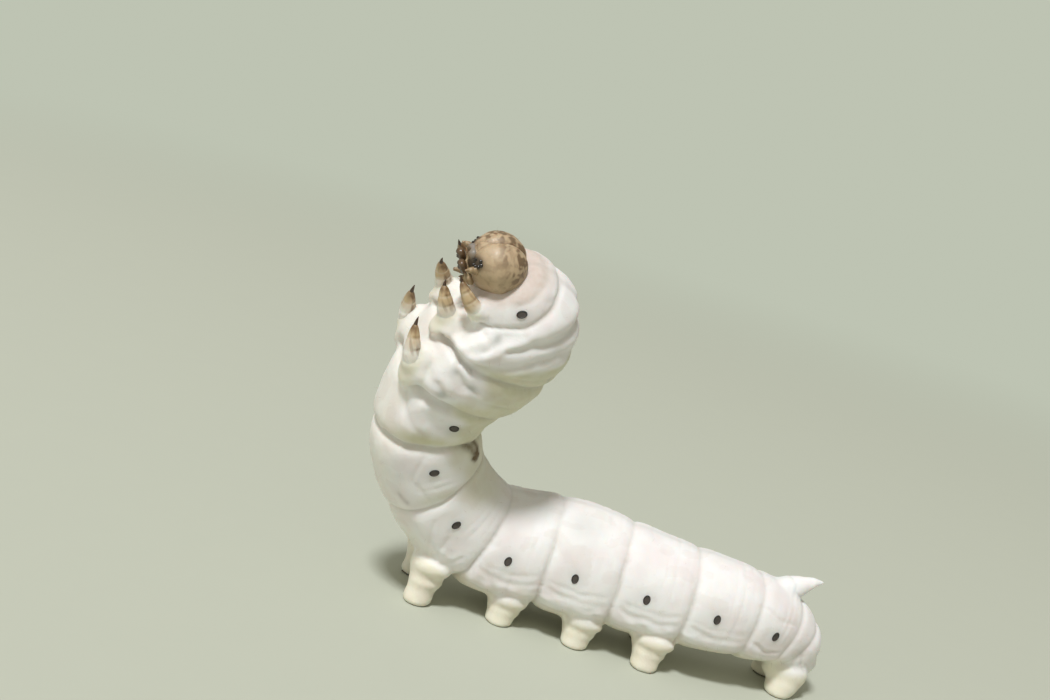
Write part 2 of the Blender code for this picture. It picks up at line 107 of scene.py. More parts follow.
# The head and its parts, in its own frame: x out of the face, y to its left, z to its top.
HEAD_UP, HEAD_LEFT = -4, 4
HEAD_HALF = (1.95, 2.3, 2.12)
HEAD_AHEAD, HEAD_RISE, HEAD_SIDE = 1.0, -0.57, 0.16
HEAD_JAW_CUT, HEAD_JAW_NARROWING = -1.6, 0.38
HEAD_CLEFT_DEPTH, HEAD_CLEFT_WIDTH = 0.09, 0.32
STEMMA_RING, STEMMA_CENTRE = 0.38, (-28, 38)
LABRUM = ((1.4, 0, -1.18), (0.38, 0.66, 0.36))
MANDIBLE = ((0.95, 0.54, -2.04), (0.48, 0.38, 0.3))
LABIUM = ((-0.2, 0, -1.85), (0.5, 0.5, 0.42))
MAXILLA = ((-0.15, 0.62, -1.9), (0.42, 0.42, 0.36))
SPINNERET = ((0.05, 0, -2.1), (0.28, 0, -0.5))
ANTENNA = ((0.85, 1.15, -1.25), (0.5, 0.5, -0.65))

Leg = namedtuple("Leg", "ring place angle length forward inward size")
LEGS = (
    Leg("thorax_1", 0.6, -48, 1.5, 1.2, 0.85, 0.82),
    Leg("thorax_2", 0.66, -70, 1.9, 0.55, 0.4, 0.92),
    Leg("thorax_3", 0.75, -58, 1.7, 1.6, 0.7, 0.96),
)
PROLEG_RINGS = ["abdomen_3", "abdomen_4", "abdomen_5", "abdomen_6"]
PROLEG_PLACE, PROLEG_HALF_TRACK = 0.68, 2.7
PROLEG_PARTS = ((0, 1.5), (0.35, 1.5), (0.55, 1.2), (0.78, 1.02), (0.92, 1.12), (1, 0.95))
CLASPER_PLACE, CLASPER_HALF_TRACK, CLASPER_BACK_SET = 0.45, 1.75, 0.2
CLASPER_PARTS = ((0, 0.85), (0.4, 1.0), (0.65, 1.0), (0.85, 1.15), (1, 1.0))
FOOT_ANGLE, FOOT_SUNK = -60, 0.25
HORN_PLACE, HORN_LENGTH, HORN_LEAN = 0.55, 2.9, 62
HORN_SAG, HORN_SAG_END = 0.45, 0.75  # how far its root sinks towards the tail, and where that ends

# How far the fold between two rings leaves its joint, at angles on the left side, in rings.
JOINT_SHIFTS = {
    1: ((-90, 0), (-50, 0), (-25, -0.22), (5, -0.27), (23, -0.41), (49, -0.54), (68, -0.62), (90, -0.66)),
    2: ((-90, 0.05), (-30, 0.07), (-10, 0.08), (20, 0.0)),
    5: ((0, 0), (50, -0.2), (90, -0.25)),
}

# Folds and swellings of single rings: how deep, how wide, and places along the body with angles.
Crease = namedtuple("Crease", "depth width points")
CREASES = (
    Crease(0.2, 0.26, ((1.02, 95), (1.04, 60), (1.1, 35), (1.12, 14), (1.3, -4))),
    Crease(-0.2, 0.5, ((0.8, 80), (0.8, 40), (0.95, 12), (1.25, -8), (1.75, -20))),
    Crease(0.16, 0.35, ((2.0, -16), (1.74, 1), (1.58, 11), (1.4, 22), (1.3, 40), (1.4, 70), (1.45, 90))),
    Crease(-0.14, 0.4, ((1.3, -30), (1.55, -34), (1.85, -40))),
    Crease(0.1, 0.16, ((1.08, -36), (1.3, -19), (1.5, -22))),
    Crease(0.07, 0.12, ((1.72, 92), (1.75, 50), (1.8, 25), (1.86, 12))),
    Crease(0.08, 0.14, ((0.1, 88), (0.14, 40), (0.2, 20), (0.2, 5))),
    Crease(0.05, 0.12, ((0.42, 92), (0.4, 60), (0.36, 40))),
    Crease(0.12, 0.22, ((2.1, -32), (2.24, -28), (2.38, -14), (2.42, 0))),
    Crease(0.12, 0.2, ((2.62, -30), (2.74, -22), (2.72, -10))),
    Crease(-0.16, 0.45, ((2.35, -50), (2.55, -36), (2.6, -22), (2.6, -8))),
    Crease(0.06, 0.12, ((2.5, 92), (2.5, 50), (2.52, 20), (2.56, 8))),
    Crease(0.05, 0.1, ((2.8, 92), (2.8, 50), (2.84, 30))),
    Crease(0.26, 0.26, ((2.04, -80), (2.06, -60), (2.06, -42), (2.08, -28), (2.12, -17))),
    Crease(-0.16, 0.5, ((1.86, -62), (1.84, -44), (1.84, -28))),
    Crease(0.24, 0.26, ((2.9, -85), (2.95, -62), (3.04, -45), (3.08, -25), (3.06, -6))),
    Crease(-0.18, 0.55, ((2.72, -66), (2.8, -44), (2.8, -22))),
    Crease(0.09, 0.2, ((3.1, -52), (3.4, -40), (3.62, -24), (3.72, -8))),
    Crease(-0.1, 0.4, ((3.3, -28), (3.55, -16))),
    Crease(-0.12, 0.5, ((3.62, -40), (3.64, -10), (3.6, 22))),
    Crease(0.13, 0.24, ((3.98, -60), (4.02, -30), (4.02, 10), (3.98, 34))),
    Crease(0.045, 0.14, ((5.2, -14), (5.42, -30), (5.56, -48))),
    Crease(0.05, 0.14, ((5.5, -12), (5.58, -30), (5.62, -48))),
    Crease(0.045, 0.14, ((5.84, -16), (5.76, -32), (5.7, -48))),
    Crease(0.045, 0.14, ((6.22, -14), (6.42, -30), (6.54, -46))),
    Crease(0.05, 0.14, ((6.56, -12), (6.6, -30), (6.64, -46))),
    Crease(0.05, 0.16, ((4.15, -8), (4.5, -20), (4.85, -10))),
    Crease(0.06, 0.14, ((10.12, 30), (10.5, 22), (10.86, 26))),
    Crease(0.08, 0.14, ((10.2, -16), (10.5, -24), (10.85, -18))),
    Crease(0.1, 0.16, ((12.1, -2), (12.5, -16), (12.9, -20))),
)

UNROLL_RADIUS = 4.3  # of the round body whose skin is laid out flat, to measure across it

# Brown marks, most of them on the back of abdomen 2: width, strength, and places with angles.
MARKS = (
    (0.4, 0.72, ((3.98, 38), (4.1, 46), (4.28, 51), (4.42, 52))),
    (0.36, 0.75, ((4.02, 54), (4.2, 58), (4.4, 58))),
    (0.2, 0.9, ((4.36, 46), (4.44, 53), (4.42, 60))),
    (0.2, 0.3, ((4.72, -36), (4.82, -31))),
)

# Small grey spots of the skin, and wide faint grey patches that are painted shade, on the backs of abdomen 4
# and 5 and low on the side of abdomen 2: width, strength, place and angle.
GREY_SPOTS_AND_SHADE = (
    (0.36, 1.1, 1.1, -20), (0.34, 1.0, 2.26, -26), (0.38, 1.0, 2.78, -21), (0.2, 0.7, 1.77, 49),
    (0.32, 0.9, 2.38, -6), (1.5, 0.32, 6.7, 62), (1.6, 0.5, 7.35, 52), (1.2, 0.3, 4.3, -32)
)

# Painted shade, tinted olive, on the back of the bend: its lower edge as angles along the body, and its
# strength.
SHADE_EDGE = (
    (1.2, 120), (1.5, 50), (1.6, 20), (1.75, 0), (1.93, -14), (2.1, -4), (2.35, 10), (2.7, 6), (3.0, -16),
    (3.25, 12), (3.6, 8), (3.95, 6), (4.05, 24), (5.2, 24), (5.6, 40), (6.0, 70)
)
SHADE_SHARE = ((1.5, 0.85), (3.9, 0.9), (4.4, 0.7), (5.4, 0.5), (6.0, 0))

# The same painted shade low on abdomen 1 and 2, along their hind edges: place and width, angle and width, and
# strength.
LOW_SHADES = ((3.84, 0.17, -10, 36, 1.2), (4.87, 0.1, 4, 24, 0.5))

# The fine creases across each ring of the abdomen: place in the ring, and share of the depth.
RING_CREASES = ((0.28, 0.5), (0.55, 0.7), (0.68, 1.0), (0.82, 0.6))

# The soft root of the horn: share of its length, and radius. A leg's radius is given as a share of its size.
HORN_ROOT = ((-0.55, 0.5), (-0.3, 0.85), (0, 1.06), (0.14, 1.0), (0.25, 0.9), (0.36, 0.8), (0.46, 0.62))
LEG_ROOT = ((-0.3, 0.98), (0, 0.98), (0.22, 0.86), (0.4, 0.64))

# The swelling that each pair of legs stands in: half its length, half its height and how far it stands out.
LEG_LOBES = ((1.0, 0.8, 0.4), (1.6, 1.15, 0.65), (1.9, 1.2, 0.75))

# Swellings of the feet: which centre of the foot's line, shift to the tail, inward and up, and half sizes.
PROLEG_BALLS = ((1, (0.3, -0.5, 0.35), (1.55, 1.25, 0.85)), (2, (0.1, -0.15, -0.1), (1.28, 1.2, 0.62)))
CLASPER_BALLS = (
    (1, (0.35, 0.1, 0.35), (1.5, 1.25, 1.5)),
    (2, (0.2, 0, 0), (1.25, 1.15, 0.9)),
    (1, (-0.55, 0.1, 0.6), (1.2, 1.1, 1.15)),
)

# The photograph's view: degrees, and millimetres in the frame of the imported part.
VIEW_AZIMUTH, VIEW_ELEVATION, VIEW_ROLL = 2.0, 10.9, 16.93
VIEW_TARGET, VIEW_DISTANCE = Vector((-9.39, 3.1, 19.19)), 94.26
LENS, SENSOR = 45, 36

# The stage, in metres: where the lights aim, the floor and the dome, and where the floor fades away.
LIGHT_TARGET = Vector((-0.003, 0, 0.012))
FLOOR_RADIUS, DOME_RADIUS, FADE_START, FADE_END = 1, 1.6, 0.1, 0.3
BACKDROP = (0.515, 0.55, 0.45)
SURROUNDINGS, SURROUNDINGS_COLOUR = 0.38, (1, 0.975, 0.82, 1)

# Each light: the way to it (right, up and to the camera), distance, size, watts and colour.
LIGHTS = {
    "key": ((0.02, 0.8, 0.6), 1.3, 0.22, 14.3, (0.975, 0.985, 1)),
    "fill": ((-0.8, 0.2, 0.55), 0.6, 0.4, 0.45, (0.92, 0.96, 1)),
}

# Colours of small places and pieces. The grey tint also colours wide patches of painted shade on the skin.
GREY_TINT, EYE_PATCH, PALE_ROOT = (0.38, 0.4, 0.37), (0.035, 0.024, 0.014), (0.84, 0.8, 0.74)
EYE, UPPER_LIP, HAIR = (0.018, 0.012, 0.009), (0.24, 0.215, 0.19), (0.3, 0.2, 0.12)
SPIRACLE_MIDDLE = (0.075, 0.062, 0.055)


# Sizes and colours that a user would change.


def length_property(name, description, default):
    return FloatProperty(name=name, description=description, default=default * MM, unit="LENGTH", precision=6)


def colour_property(name, description, default):
    return FloatVectorProperty(
        name=name, description=description, default=default, subtype="COLOR", size=3, min=0, max=1
    )


class SilkwormSizes(bpy.types.PropertyGroup):
    """Sizes of the finer forms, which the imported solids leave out."""

    grain: length_property("Skin grain", "Size of the faces that the skin is made of", 0.15)
    joint_depth: length_property("Joint depth", "Depth of the line between two rings", 0.16)
    crease_depth: length_property("Crease depth", "Depth of the fine folds across a ring", 0.05)
    swelling: length_property("Swelling", "How far the pads under the spiracles stand out", 0.16)
    unevenness: length_property("Unevenness", "How far the soft skin swells and sinks", 0.06)
    hair: length_property("Hair length", "Length of the fine hairs on the rings", 0.4)
    hair_width: length_property("Hair width", "Thickness of a hair at its root", 0.03)
    hooks: IntProperty(name="Hooks", description="Hooks on the sole of each proleg", default=22, min=4)


class SilkwormColours(bpy.types.PropertyGroup):
    """Colours of the animal's surfaces, and of the shade painted onto the skin."""

    skin: colour_property("Skin", "The waxy white of the back and sides", (0.86, 0.84, 0.84))
    lilac: colour_property("Skin tint", "The faint pink and lilac patches of the skin", (0.78, 0.7, 0.7))
    # The belly colour is partly the cream of belly and prolegs, partly painted shade of the underside.
    belly: colour_property("Belly", "The cream of the belly, prolegs and leg bases", (0.78, 0.73, 0.55))
    # Colour of the painted shade on the back of the bend and along the hind edges of abdomen 1 and 2.
    olive: colour_property("Shade", "The faint olive of the back where the body bends", (0.62, 0.6, 0.42))
    blush: colour_property("Collar", "The tan blush of the skin next to the head", (0.62, 0.52, 0.46))
    # Colour of the painted shade down in the folds.
    fold: colour_property("Folds", "The tint down in the folds", (0.6, 0.56, 0.5))
    mark: colour_property("Marks", "The brown crescents on the back", (0.13, 0.085, 0.04))
    head: colour_property("Head", "The tan of the head's shell", (0.5, 0.37, 0.235))
    head_dark: colour_property("Head pattern", "The darker net on the head", (0.17, 0.105, 0.055))
    leg: colour_property("Legs", "The tan of the legs", (0.56, 0.42, 0.25))
    plate: colour_property("Leg plates", "The brown plates of legs and mouthparts", (0.2, 0.12, 0.055))
    claw: colour_property("Claws", "The dark brown of claws, jaws and hooks", (0.05, 0.025, 0.012))
    spiracle: colour_property("Spiracles", "The near black of the breathing holes", (0.02, 0.017, 0.015))
    floor: colour_property("Floor", "The pale floor", (0.5, 0.52, 0.44))


def sizes():
    return bpy.context.scene.silkworm_sizes


def colours():
    """The panel's colours as plain tuples."""
    group = bpy.context.scene.silkworm_colours
    return SimpleNamespace(**{name: tuple(getattr(group, name)) for name in SilkwormColours.__annotations__})


# The body's spine and skin, as functions of the place along it and the angle around it.


def bend(up, left):
    """The turn from a ring to the one in front of it."""
    return Quaternion((0, 1, 0), -math.radians(up)) @ Quaternion((0, 0, 1), math.radians(left))


def axes(turn):
    """The forward, left and back directions of a ring with that turn."""
    return turn @ Vector((1, 0, 0)), turn @ Vector((0, 1, 0)), turn @ Vector((0, 0, 1))


def make_chain():
    """The turns and points of the joints, worked out from abdomen 6 both ways."""
    turns = {ROOT: Matrix(((-1, 0, 0), (0, -1, 0), (0, 0, 1))).to_quaternion()}
    for i in range(ROOT - 1, -1, -1):
        turns[i] = turns[i + 1] @ bend(RINGS[i].up, RINGS[i].left)
    for i in range(ROOT + 1, COUNT):
        turns[i] = turns[i - 1] @ bend(RINGS[i - 1].up, RINGS[i - 1].left).inverted()
    ends = {ROOT: Vector((0, 0, SPINE_HEIGHT)) + axes(turns[ROOT])[0] * RINGS[ROOT].length / 2}
    for i in range(ROOT - 1, -1, -1):
        ends[i] = ends[i + 1] + axes(turns[i])[0] * RINGS[i].length
    for i in range(ROOT, COUNT):
        ends[i + 1] = ends[i] - axes(turns[i])[0] * RINGS[i].length
    joint_turns = [turns[0] @ bend(COLLAR_UP, 0)]
    joint_turns += [turns[i - 1].slerp(turns[i], 0.5) for i in range(1, COUNT)]
    joint_turns.append(turns[COUNT - 1])
    return joint_turns, [ends[i] for i in range(COUNT + 1)]


JOINT_TURNS, JOINT_POINTS = make_chain()


def curve_shares(f):
    """What both ends and both slopes of a smooth curve add at f of the way: start, leaving, end, arriving."""
    return 2 * f**3 - 3 * f**2 + 1, f**3 - 2 * f**2 + f, 3 * f**2 - 2 * f**3, f**3 - f**2


def spine(s):
    """The point and turn of the spine at s, which counts rings from the front of thorax 1."""
    i = min(max(int(math.floor(s)), 0), COUNT - 1)
    f = s - i
    length = RINGS[i].length
    start, leaving, end, arriving = curve_shares(f)
    point = (
        JOINT_POINTS[i] * start
        - axes(JOINT_TURNS[i])[0] * length * leaving
        + JOINT_POINTS[i + 1] * end
        - axes(JOINT_TURNS[i + 1])[0] * length * arriving
    )
    return point, JOINT_TURNS[i].slerp(JOINT_TURNS[i + 1], f)


def on_side(angle, side):
    """The angle of the left side, or the same one of the right side."""
    return angle if side > 0 else 180 - angle


def ahead_at(s):
    """The way to the head at that place of the body."""
    return axes(spine(s)[1])[0]


def smooth_through(places, values, s):
    """A smooth curve through values at places."""
    i = max(k for k in range(len(places) - 1) if places[k] <= s or k == 0)
    step = places[i + 1] - places[i]
    before, after = max(i - 1, 0), min(i + 2, len(places) - 1)
    slope_in = (values[i + 1] - values[before]) / (places[i + 1] - places[before]) * step
    slope_out = (values[after] - values[i]) / (places[after] - places[i]) * step
    start, leaving, end, arriving = curve_shares((s - places[i]) / step)
    return values[i] * start + slope_in * leaving + values[i + 1] * end + slope_out * arriving


def make_tables(per_ring=40):
    """The spine's points and directions, and the body's half sizes, at close steps along it."""
    steps = np.linspace(0, COUNT, COUNT * per_ring + 1)
    points, directions = [], [[], [], []]
    for s in steps:
        point, turn = spine(s)
        points.append(point)
        for k, way in enumerate(axes(turn)):
            directions[k].append(way)
    places = [0, LIP_PLACE] + [i + 0.5 for i in range(COUNT)] + [COUNT]
    halves = []
    for k, field in enumerate(("half_width", "back", "belly")):
        values = [COLLAR[k], LIP[k]] + [getattr(ring, field) for ring in RINGS] + [TAIL_END[k]]
        halves.append(np.array([smooth_through(places, values, s) for s in steps]))
    lengths = [0]
    for a, b in zip(points, points[1:]):
        lengths.append(lengths[-1] + (b - a).length)
    return steps, np.array(points), [np.array(d) for d in directions], halves, np.array(lengths)


STEPS, SPINE_POINTS, SPINE_WAYS, HALVES, SPINE_LENGTHS = make_tables()


def along_spine(table, s):
    """Values of a table at places s."""
    if table.ndim == 1:
        return np.interp(s, STEPS, table)
    return np.stack([np.interp(s, STEPS, table[:, k]) for k in range(3)], axis=-1)


def ridge(angle):
    """How much the long swelling on each side widens the body at that angle."""
    off = np.minimum(np.abs(angle - RIDGE_ANGLE), np.abs(180 - angle - RIDGE_ANGLE))
    return 1 + RIDGE_HEIGHT * np.exp(-((off / RIDGE_WIDTH) ** 2))


def fold(s):
    """The share of its size that the body keeps at s: less in the folds between rings."""
    f = np.mod(s, 1)
    edge = np.abs(2 * f - 1) ** FOLD_POWER
    edge = np.where((s < 0.5) | (s > COUNT - 0.5), 0, edge)
    depth = np.where((s > 4.5) & (s < 10.5), ABDOMEN_FOLD_DEPTH, FOLD_DEPTH)
    return 1 - depth * edge


def skin(s, angle):
    """Points of the smooth skin. angle is 0 on the left side, 90 on the back, -90 under the belly."""
    s, angle = np.broadcast_arrays(np.asarray(s, float), np.asarray(angle, float))
    angle = np.mod(angle + 90, 360) - 90
    across, up = np.cos(np.radians(angle)), np.sin(np.radians(angle))
    wide, over, under = (along_spine(half, s) for half in HALVES)
    keep = fold(s) * ridge(angle)
    x = np.sign(across) * np.abs(across) ** (2 / SECTION_POWER) * wide * keep
    z = np.sign(up) * np.abs(up) ** (2 / SECTION_POWER) * np.where(up > 0, over, under) * keep
    left, back = along_spine(SPINE_WAYS[1], s), along_spine(SPINE_WAYS[2], s)
    return along_spine(SPINE_POINTS, s) + left * x[..., None] + back * z[..., None]


def skin_point(s, angle):
    return Vector(skin(s, angle))


def skin_normal(s, angle):
    along = skin_point(s + 0.05, angle) - skin_point(s - 0.05, angle)
    around = skin_point(s, angle + 0.5) - skin_point(s, angle - 0.5)
    return along.cross(around).normalized()


def body_coordinates(points):
    """The place along the body and angle around it nearest to each point, and how far it stands off."""
    s_steps, a_steps = np.linspace(0, COUNT, COUNT * 16 + 1), np.arange(-90, 270, 3.0)
    s_all, a_all = (grid.ravel() for grid in np.meshgrid(s_steps, a_steps))
    samples = skin(s_all, a_all)
    tree = kdtree.KDTree(len(samples))
    for k, sample in enumerate(samples):
        tree.insert(sample, k)
    tree.balance()
    found = np.array([tree.find(point)[1] for point in points])
    s, angle = s_all[found], a_all[found]
    for _ in range(2):
        offset = points - skin(s, angle)
        by_s = (skin(s + 0.01, angle) - skin(s - 0.01, angle)) / 0.02
        by_a = (skin(s, angle + 0.5) - skin(s, angle - 0.5)) / 1.0
        ss, aa, sa = (by_s**2).sum(1), (by_a**2).sum(1), (by_s * by_a).sum(1)
        so, ao = (by_s * offset).sum(1), (by_a * offset).sum(1)
        whole = np.maximum(ss * aa - sa**2, 1e-9)
        s = np.clip(s + np.clip((so * aa - ao * sa) / whole, -0.06, 0.06), 0.0, COUNT)
        angle = angle + np.clip((ao * ss - so * sa) / whole, -3, 3)
    off = np.linalg.norm(points - skin(s, angle), axis=1)
    return s, np.mod(angle + 90, 360) - 90, off


# The head's frame and shell.


def head_frame():
    turn = JOINT_TURNS[0] @ bend(HEAD_UP - COLLAR_UP, HEAD_LEFT)
    forward, left, top = axes(turn)
    centre = JOINT_POINTS[0] + forward * HEAD_AHEAD + top * HEAD_RISE + left * HEAD_SIDE
    return centre, forward, left, top


def head_local(points):
    """Points given in the head's own frame, as points of the model."""
    centre, forward, left, top = (np.array(v) for v in head_frame())
    points = np.asarray(points, float)
    return centre + points[..., :1] * forward + points[..., 1:2] * left + points[..., 2:3] * top


def head_shape(elevation, azimuth, off=0.0):
    """Points of the head's smooth shell in its own frame, for angles in degrees."""
    e, a = np.radians(elevation), np.radians(azimuth)
    way = np.stack(np.broadcast_arrays(np.cos(e) * np.cos(a), np.cos(e) * np.sin(a), np.sin(e)), axis=-1)
    x, y, z = (way[..., k] * HEAD_HALF[k] for k in range(3))
    cleft = HEAD_CLEFT_DEPTH * np.exp(-((y / HEAD_CLEFT_WIDTH) ** 2)) * np.clip(z / 1.2 + 0.6, 0, 1)
    y = y * (1 - HEAD_JAW_NARROWING * np.maximum(0, -z / HEAD_HALF[2]))
    local = np.stack([x, y, z], axis=-1) * (1 - cleft)[..., None] + way * np.asarray(off)[..., None]
    local[..., 2] = np.maximum(local[..., 2], HEAD_JAW_CUT - np.asarray(off))
    return local


# Making and finishing meshes.


def deselect():
    if bpy.context.mode != "OBJECT":
        bpy.ops.object.mode_set(mode="OBJECT")
    bpy.ops.object.select_all(action="DESELECT")


def link_object(name, data):
    """A new object of that mesh, light or camera, in the scene."""
    obj = bpy.data.objects.new(name, data)
    bpy.context.scene.collection.objects.link(obj)
    return obj


def new_object(name, points, faces):
    """An object of those points, in millimetres, with its normals outward."""
    mesh = bpy.data.meshes.new(name)
    mesh.from_pydata([tuple(p) for p in points], [], faces)
    turn_outward(mesh)
    return link_object(name, mesh)


def turn_outward(mesh):
    edit = bmesh.new()
    edit.from_mesh(mesh)
    bmesh.ops.remove_doubles(edit, verts=edit.verts, dist=1e-5)
    bmesh.ops.recalc_face_normals(edit, faces=edit.faces)
    if edit.calc_volume(signed=True) < 0:
        bmesh.ops.reverse_faces(edit, faces=edit.faces)
    edit.to_mesh(mesh)
    edit.free()


def tube(loops, start, end):
    """Points and faces of a closed tube through loops, drawn to a point at both ends."""
    loops = np.asarray(loops, float)
    rows, around = loops.shape[:2]
    points = np.concatenate([loops.reshape(-1, 3), [start], [end]])
    faces = []
    for k in range(rows - 1):
        for j in range(around):
            a, b = k * around + j, k * around + (j + 1) % around
            faces.append((a, b, b + around, a + around))
    for tip, first in ((rows * around, 0), (rows * around + 1, (rows - 1) * around)):
        faces += [(first + j, first + (j + 1) % around, tip) for j in range(around)]
    return points, faces


def join_shells(shells):
    """Several closed shells as one list of points and one of faces."""
    points, faces, first = [], [], 0
    for shell_points, shell_faces in shells:
        points.append(np.asarray(shell_points, float))
        faces += [tuple(v + first for v in face) for face in shell_faces]
        first += len(shell_points)
    return np.concatenate(points), faces


def apply_modifier(obj, kind, **settings):
    deselect()
    bpy.context.view_layer.objects.active = obj
    obj.select_set(True)
    modifier = obj.modifiers.new(kind.lower(), kind)
    for key, value in settings.items():
        setattr(modifier, key, value)
    bpy.ops.object.modifier_apply(modifier=modifier.name)


def subdivide(obj, levels):
    apply_modifier(obj, "SUBSURF", levels=levels, render_levels=levels)


def rows_of(items, field):
    """A field of three numbers of each of the items, as rows."""
    flat = np.zeros(len(items) * 3, np.float32)
    items.foreach_get(field, flat)
    return flat.reshape(-1, 3).astype(float)


def coordinates(mesh):
    return rows_of(mesh.vertices, "co")


def set_coordinates(mesh, points):
    mesh.vertices.foreach_set("co", np.asarray(points, np.float32).ravel())
    mesh.update()


def normals_of(mesh):
    return rows_of(mesh.vertex_normals, "vector")


def relax(mesh, share, rounds):
    """Draws each point towards the middle of its neighbours."""
    points = coordinates(mesh)
    edges = np.zeros(len(mesh.edges) * 2, np.int32)
    mesh.edges.foreach_get("vertices", edges)
    edges = edges.reshape(-1, 2)
    ends = np.concatenate([edges[:, 0], edges[:, 1]])
    others = np.concatenate([edges[:, 1], edges[:, 0]])
    count = np.maximum(np.bincount(ends, minlength=len(points)), 1)
    for _ in range(rounds):
        middle = np.stack(
            [np.bincount(ends, points[others, k], len(points)) / count for k in range(3)], axis=1
        )
        points += (middle - points) * share
    set_coordinates(mesh, points)


def store(mesh, name, values):
    """A number for each point of a mesh, which the material reads by that name."""
    attribute = mesh.attributes.new(name, "FLOAT", "POINT")
    attribute.data.foreach_set("value", np.asarray(values, np.float32))


def waves(points, size, seed):
    """Smooth noise from -1 to 1, with swells of about that size."""
    shift = Vector((seed * 7.3, seed * 3.1, seed * 5.7))
    return np.array([noise.noise(Vector(p) / size + shift) for p in points])


def finish_piece(obj, name, material, nodes=()):
    """Names the piece, sets it in metres in its place, and hands it to the frame."""
    obj.name = obj.data.name = name
    obj.data.transform(Matrix.Scale(MM, 4) @ Matrix.Translation(-MIDDLE))
    obj.data.materials.clear()
    obj.data.materials.append(material)
    for polygon in obj.data.polygons:
        polygon.use_smooth = True
    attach(obj, "root")
    if nodes:
        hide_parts(*nodes)


# Shader maths.


class Value:
    """An output of a node. Arithmetic on it adds Math nodes."""

    def __init__(self, tree, socket):
        self.tree, self.socket = tree, socket

    def math(self, operation, *others, swap=False):
        values = [*others, self] if swap else [self, *others]
        return self.tree.node("ShaderNodeMath", {"operation": operation}, dict(enumerate(values)))

    def __add__(self, other):
        return self.math("ADD", other)

    def __sub__(self, other):
        return self.math("SUBTRACT", other)

    def __rsub__(self, other):
        return self.math("SUBTRACT", other, swap=True)

    def __mul__(self, other):
        return self.math("MULTIPLY", other)

    __radd__, __rmul__ = __add__, __mul__

    def clamp(self):
        return self.math("MINIMUM", 1.0).math("MAXIMUM", 0.0)

    def between(self, low, high):
        """0 at low and 1 at high, smooth in between."""
        sockets = {"Value": self, "From Min": low, "From Max": high}
        return self.tree.node(
            "ShaderNodeMapRange", {"interpolation_type": "SMOOTHSTEP", "clamp": True}, sockets
        )


class Maker:
    """Builds one material."""

    def __init__(self, name, roughness, **shader_values):
        self.material = bpy.data.materials.new(name)
        self.material.use_nodes = True
        self.nodes = self.material.node_tree.nodes
        self.shader = self.nodes["Principled BSDF"]
        self.set(self.shader, {"Roughness": roughness, **shader_values})

    def set(self, node, sockets):
        for key, value in sockets.items():
            socket = node.inputs[key]
            if isinstance(value, Value):
                self.material.node_tree.links.new(value.socket, socket)
            elif isinstance(value, (tuple, list)) and len(value) == 3 and socket.type == "RGBA":
                socket.default_value = (*value, 1)
            else:
                socket.default_value = value

    def node(self, kind, settings=None, sockets=None, output=0):
        """A node with its settings made first, then its sockets, and one of its outputs."""
        node = self.nodes.new(kind)
        for key, value in (settings or {}).items():
            setattr(node, key, value)
        self.set(node, sockets or {})
        return Value(self, node.outputs[output])

    def attribute(self, name):
        return self.node("ShaderNodeAttribute", {"attribute_name": name}, output="Fac")

    def place(self):
        return self.node("ShaderNodeTexCoord", output="Object")

    def pattern(self, kind, size, output, **sockets):
        """A texture with swells of about that size, in millimetres."""
        return self.node(kind, {}, {"Vector": self.place(), "Scale": 1 / (size * MM), **sockets}, output)

    def grain(self, size, detail=3, distortion=0.0):
        return self.pattern("ShaderNodeTexNoise", size, "Fac", Detail=detail, Distortion=distortion)

    def cells(self, size):
        return self.pattern("ShaderNodeTexVoronoi", size, "Distance")

    def mix(self, share, a, b):
        """A colour between a and b."""
        return self.node("ShaderNodeMix", {"data_type": "RGBA"}, {0: share, 6: a, 7: b}, 2)

    def relief(self, height, depth, strength):
        """The normal of a surface with that height, whose whole range is depth in millimetres."""
        sockets = {"Height": height, "Distance": depth * MM, "Strength": strength}
        return self.node("ShaderNodeBump", {}, sockets)

    def surface(self, shader):
        """Shows that shader in place of the first one."""
        self.set(self.nodes["Material Output"], {"Surface": shader})

    def done(self, colour, roughness, normal):
        self.set(self.shader, {"Base Color": colour, "Roughness": roughness, "Normal": normal})
        return self.material


# Names of the skin's colour attributes: its own tints, and painted shade in the folds, on the back of the
# bend, partly on the underside and in wide grey patches.
SKIN_TINTS_AND_SHADES = ("fold", "belly", "olive", "mark", "grey", "blush")


def skin_material(name):
    c = colours()
    maker = Maker(name, 0.42, **{
        "Subsurface Weight": 0.3,
        "Subsurface Scale": 0.7 * MM,
        "Subsurface Radius": (1.0, 0.6, 0.45),
        "Specular IOR Level": 0.28,
    })
    painted_fold_shade, belly, olive, mark, grey, blush = (maker.attribute(n) for n in SKIN_TINTS_AND_SHADES)
    broad, fine = maker.grain(3.2, 2), maker.grain(0.5, 4)
    colour = maker.mix(broad.between(0.45, 0.7) * 0.55, c.skin, c.lilac)
    # Belly cream, partly painted shade of the underside.
    colour = maker.mix((belly * (0.75 + fine * 0.4)).clamp(), colour, c.belly)
    # Painted shade, tinted olive, on the back of the bend.
    colour = maker.mix((olive * (0.75 + fine * 0.4)).clamp(), colour, c.olive)
    colour = maker.mix((blush * (0.6 + fine * 0.5)).clamp(), colour, c.blush)
    # Painted shade down in the folds.
    colour = maker.mix(painted_fold_shade * 0.45, colour, c.fold)
    # Grey spots and lines, and wide patches of painted shade.
    colour = maker.mix(grey * 0.6, colour, GREY_TINT)
    colour = maker.mix((mark * (0.5 + fine)).clamp(), colour, c.mark)
    pores = maker.cells(0.16)
    relief = maker.relief(maker.grain(0.22, 3) * 0.6 + pores * 0.5, 0.02, 0.5)
    return maker.done(colour, 0.46 + fine * 0.2 - belly * 0.1, relief)


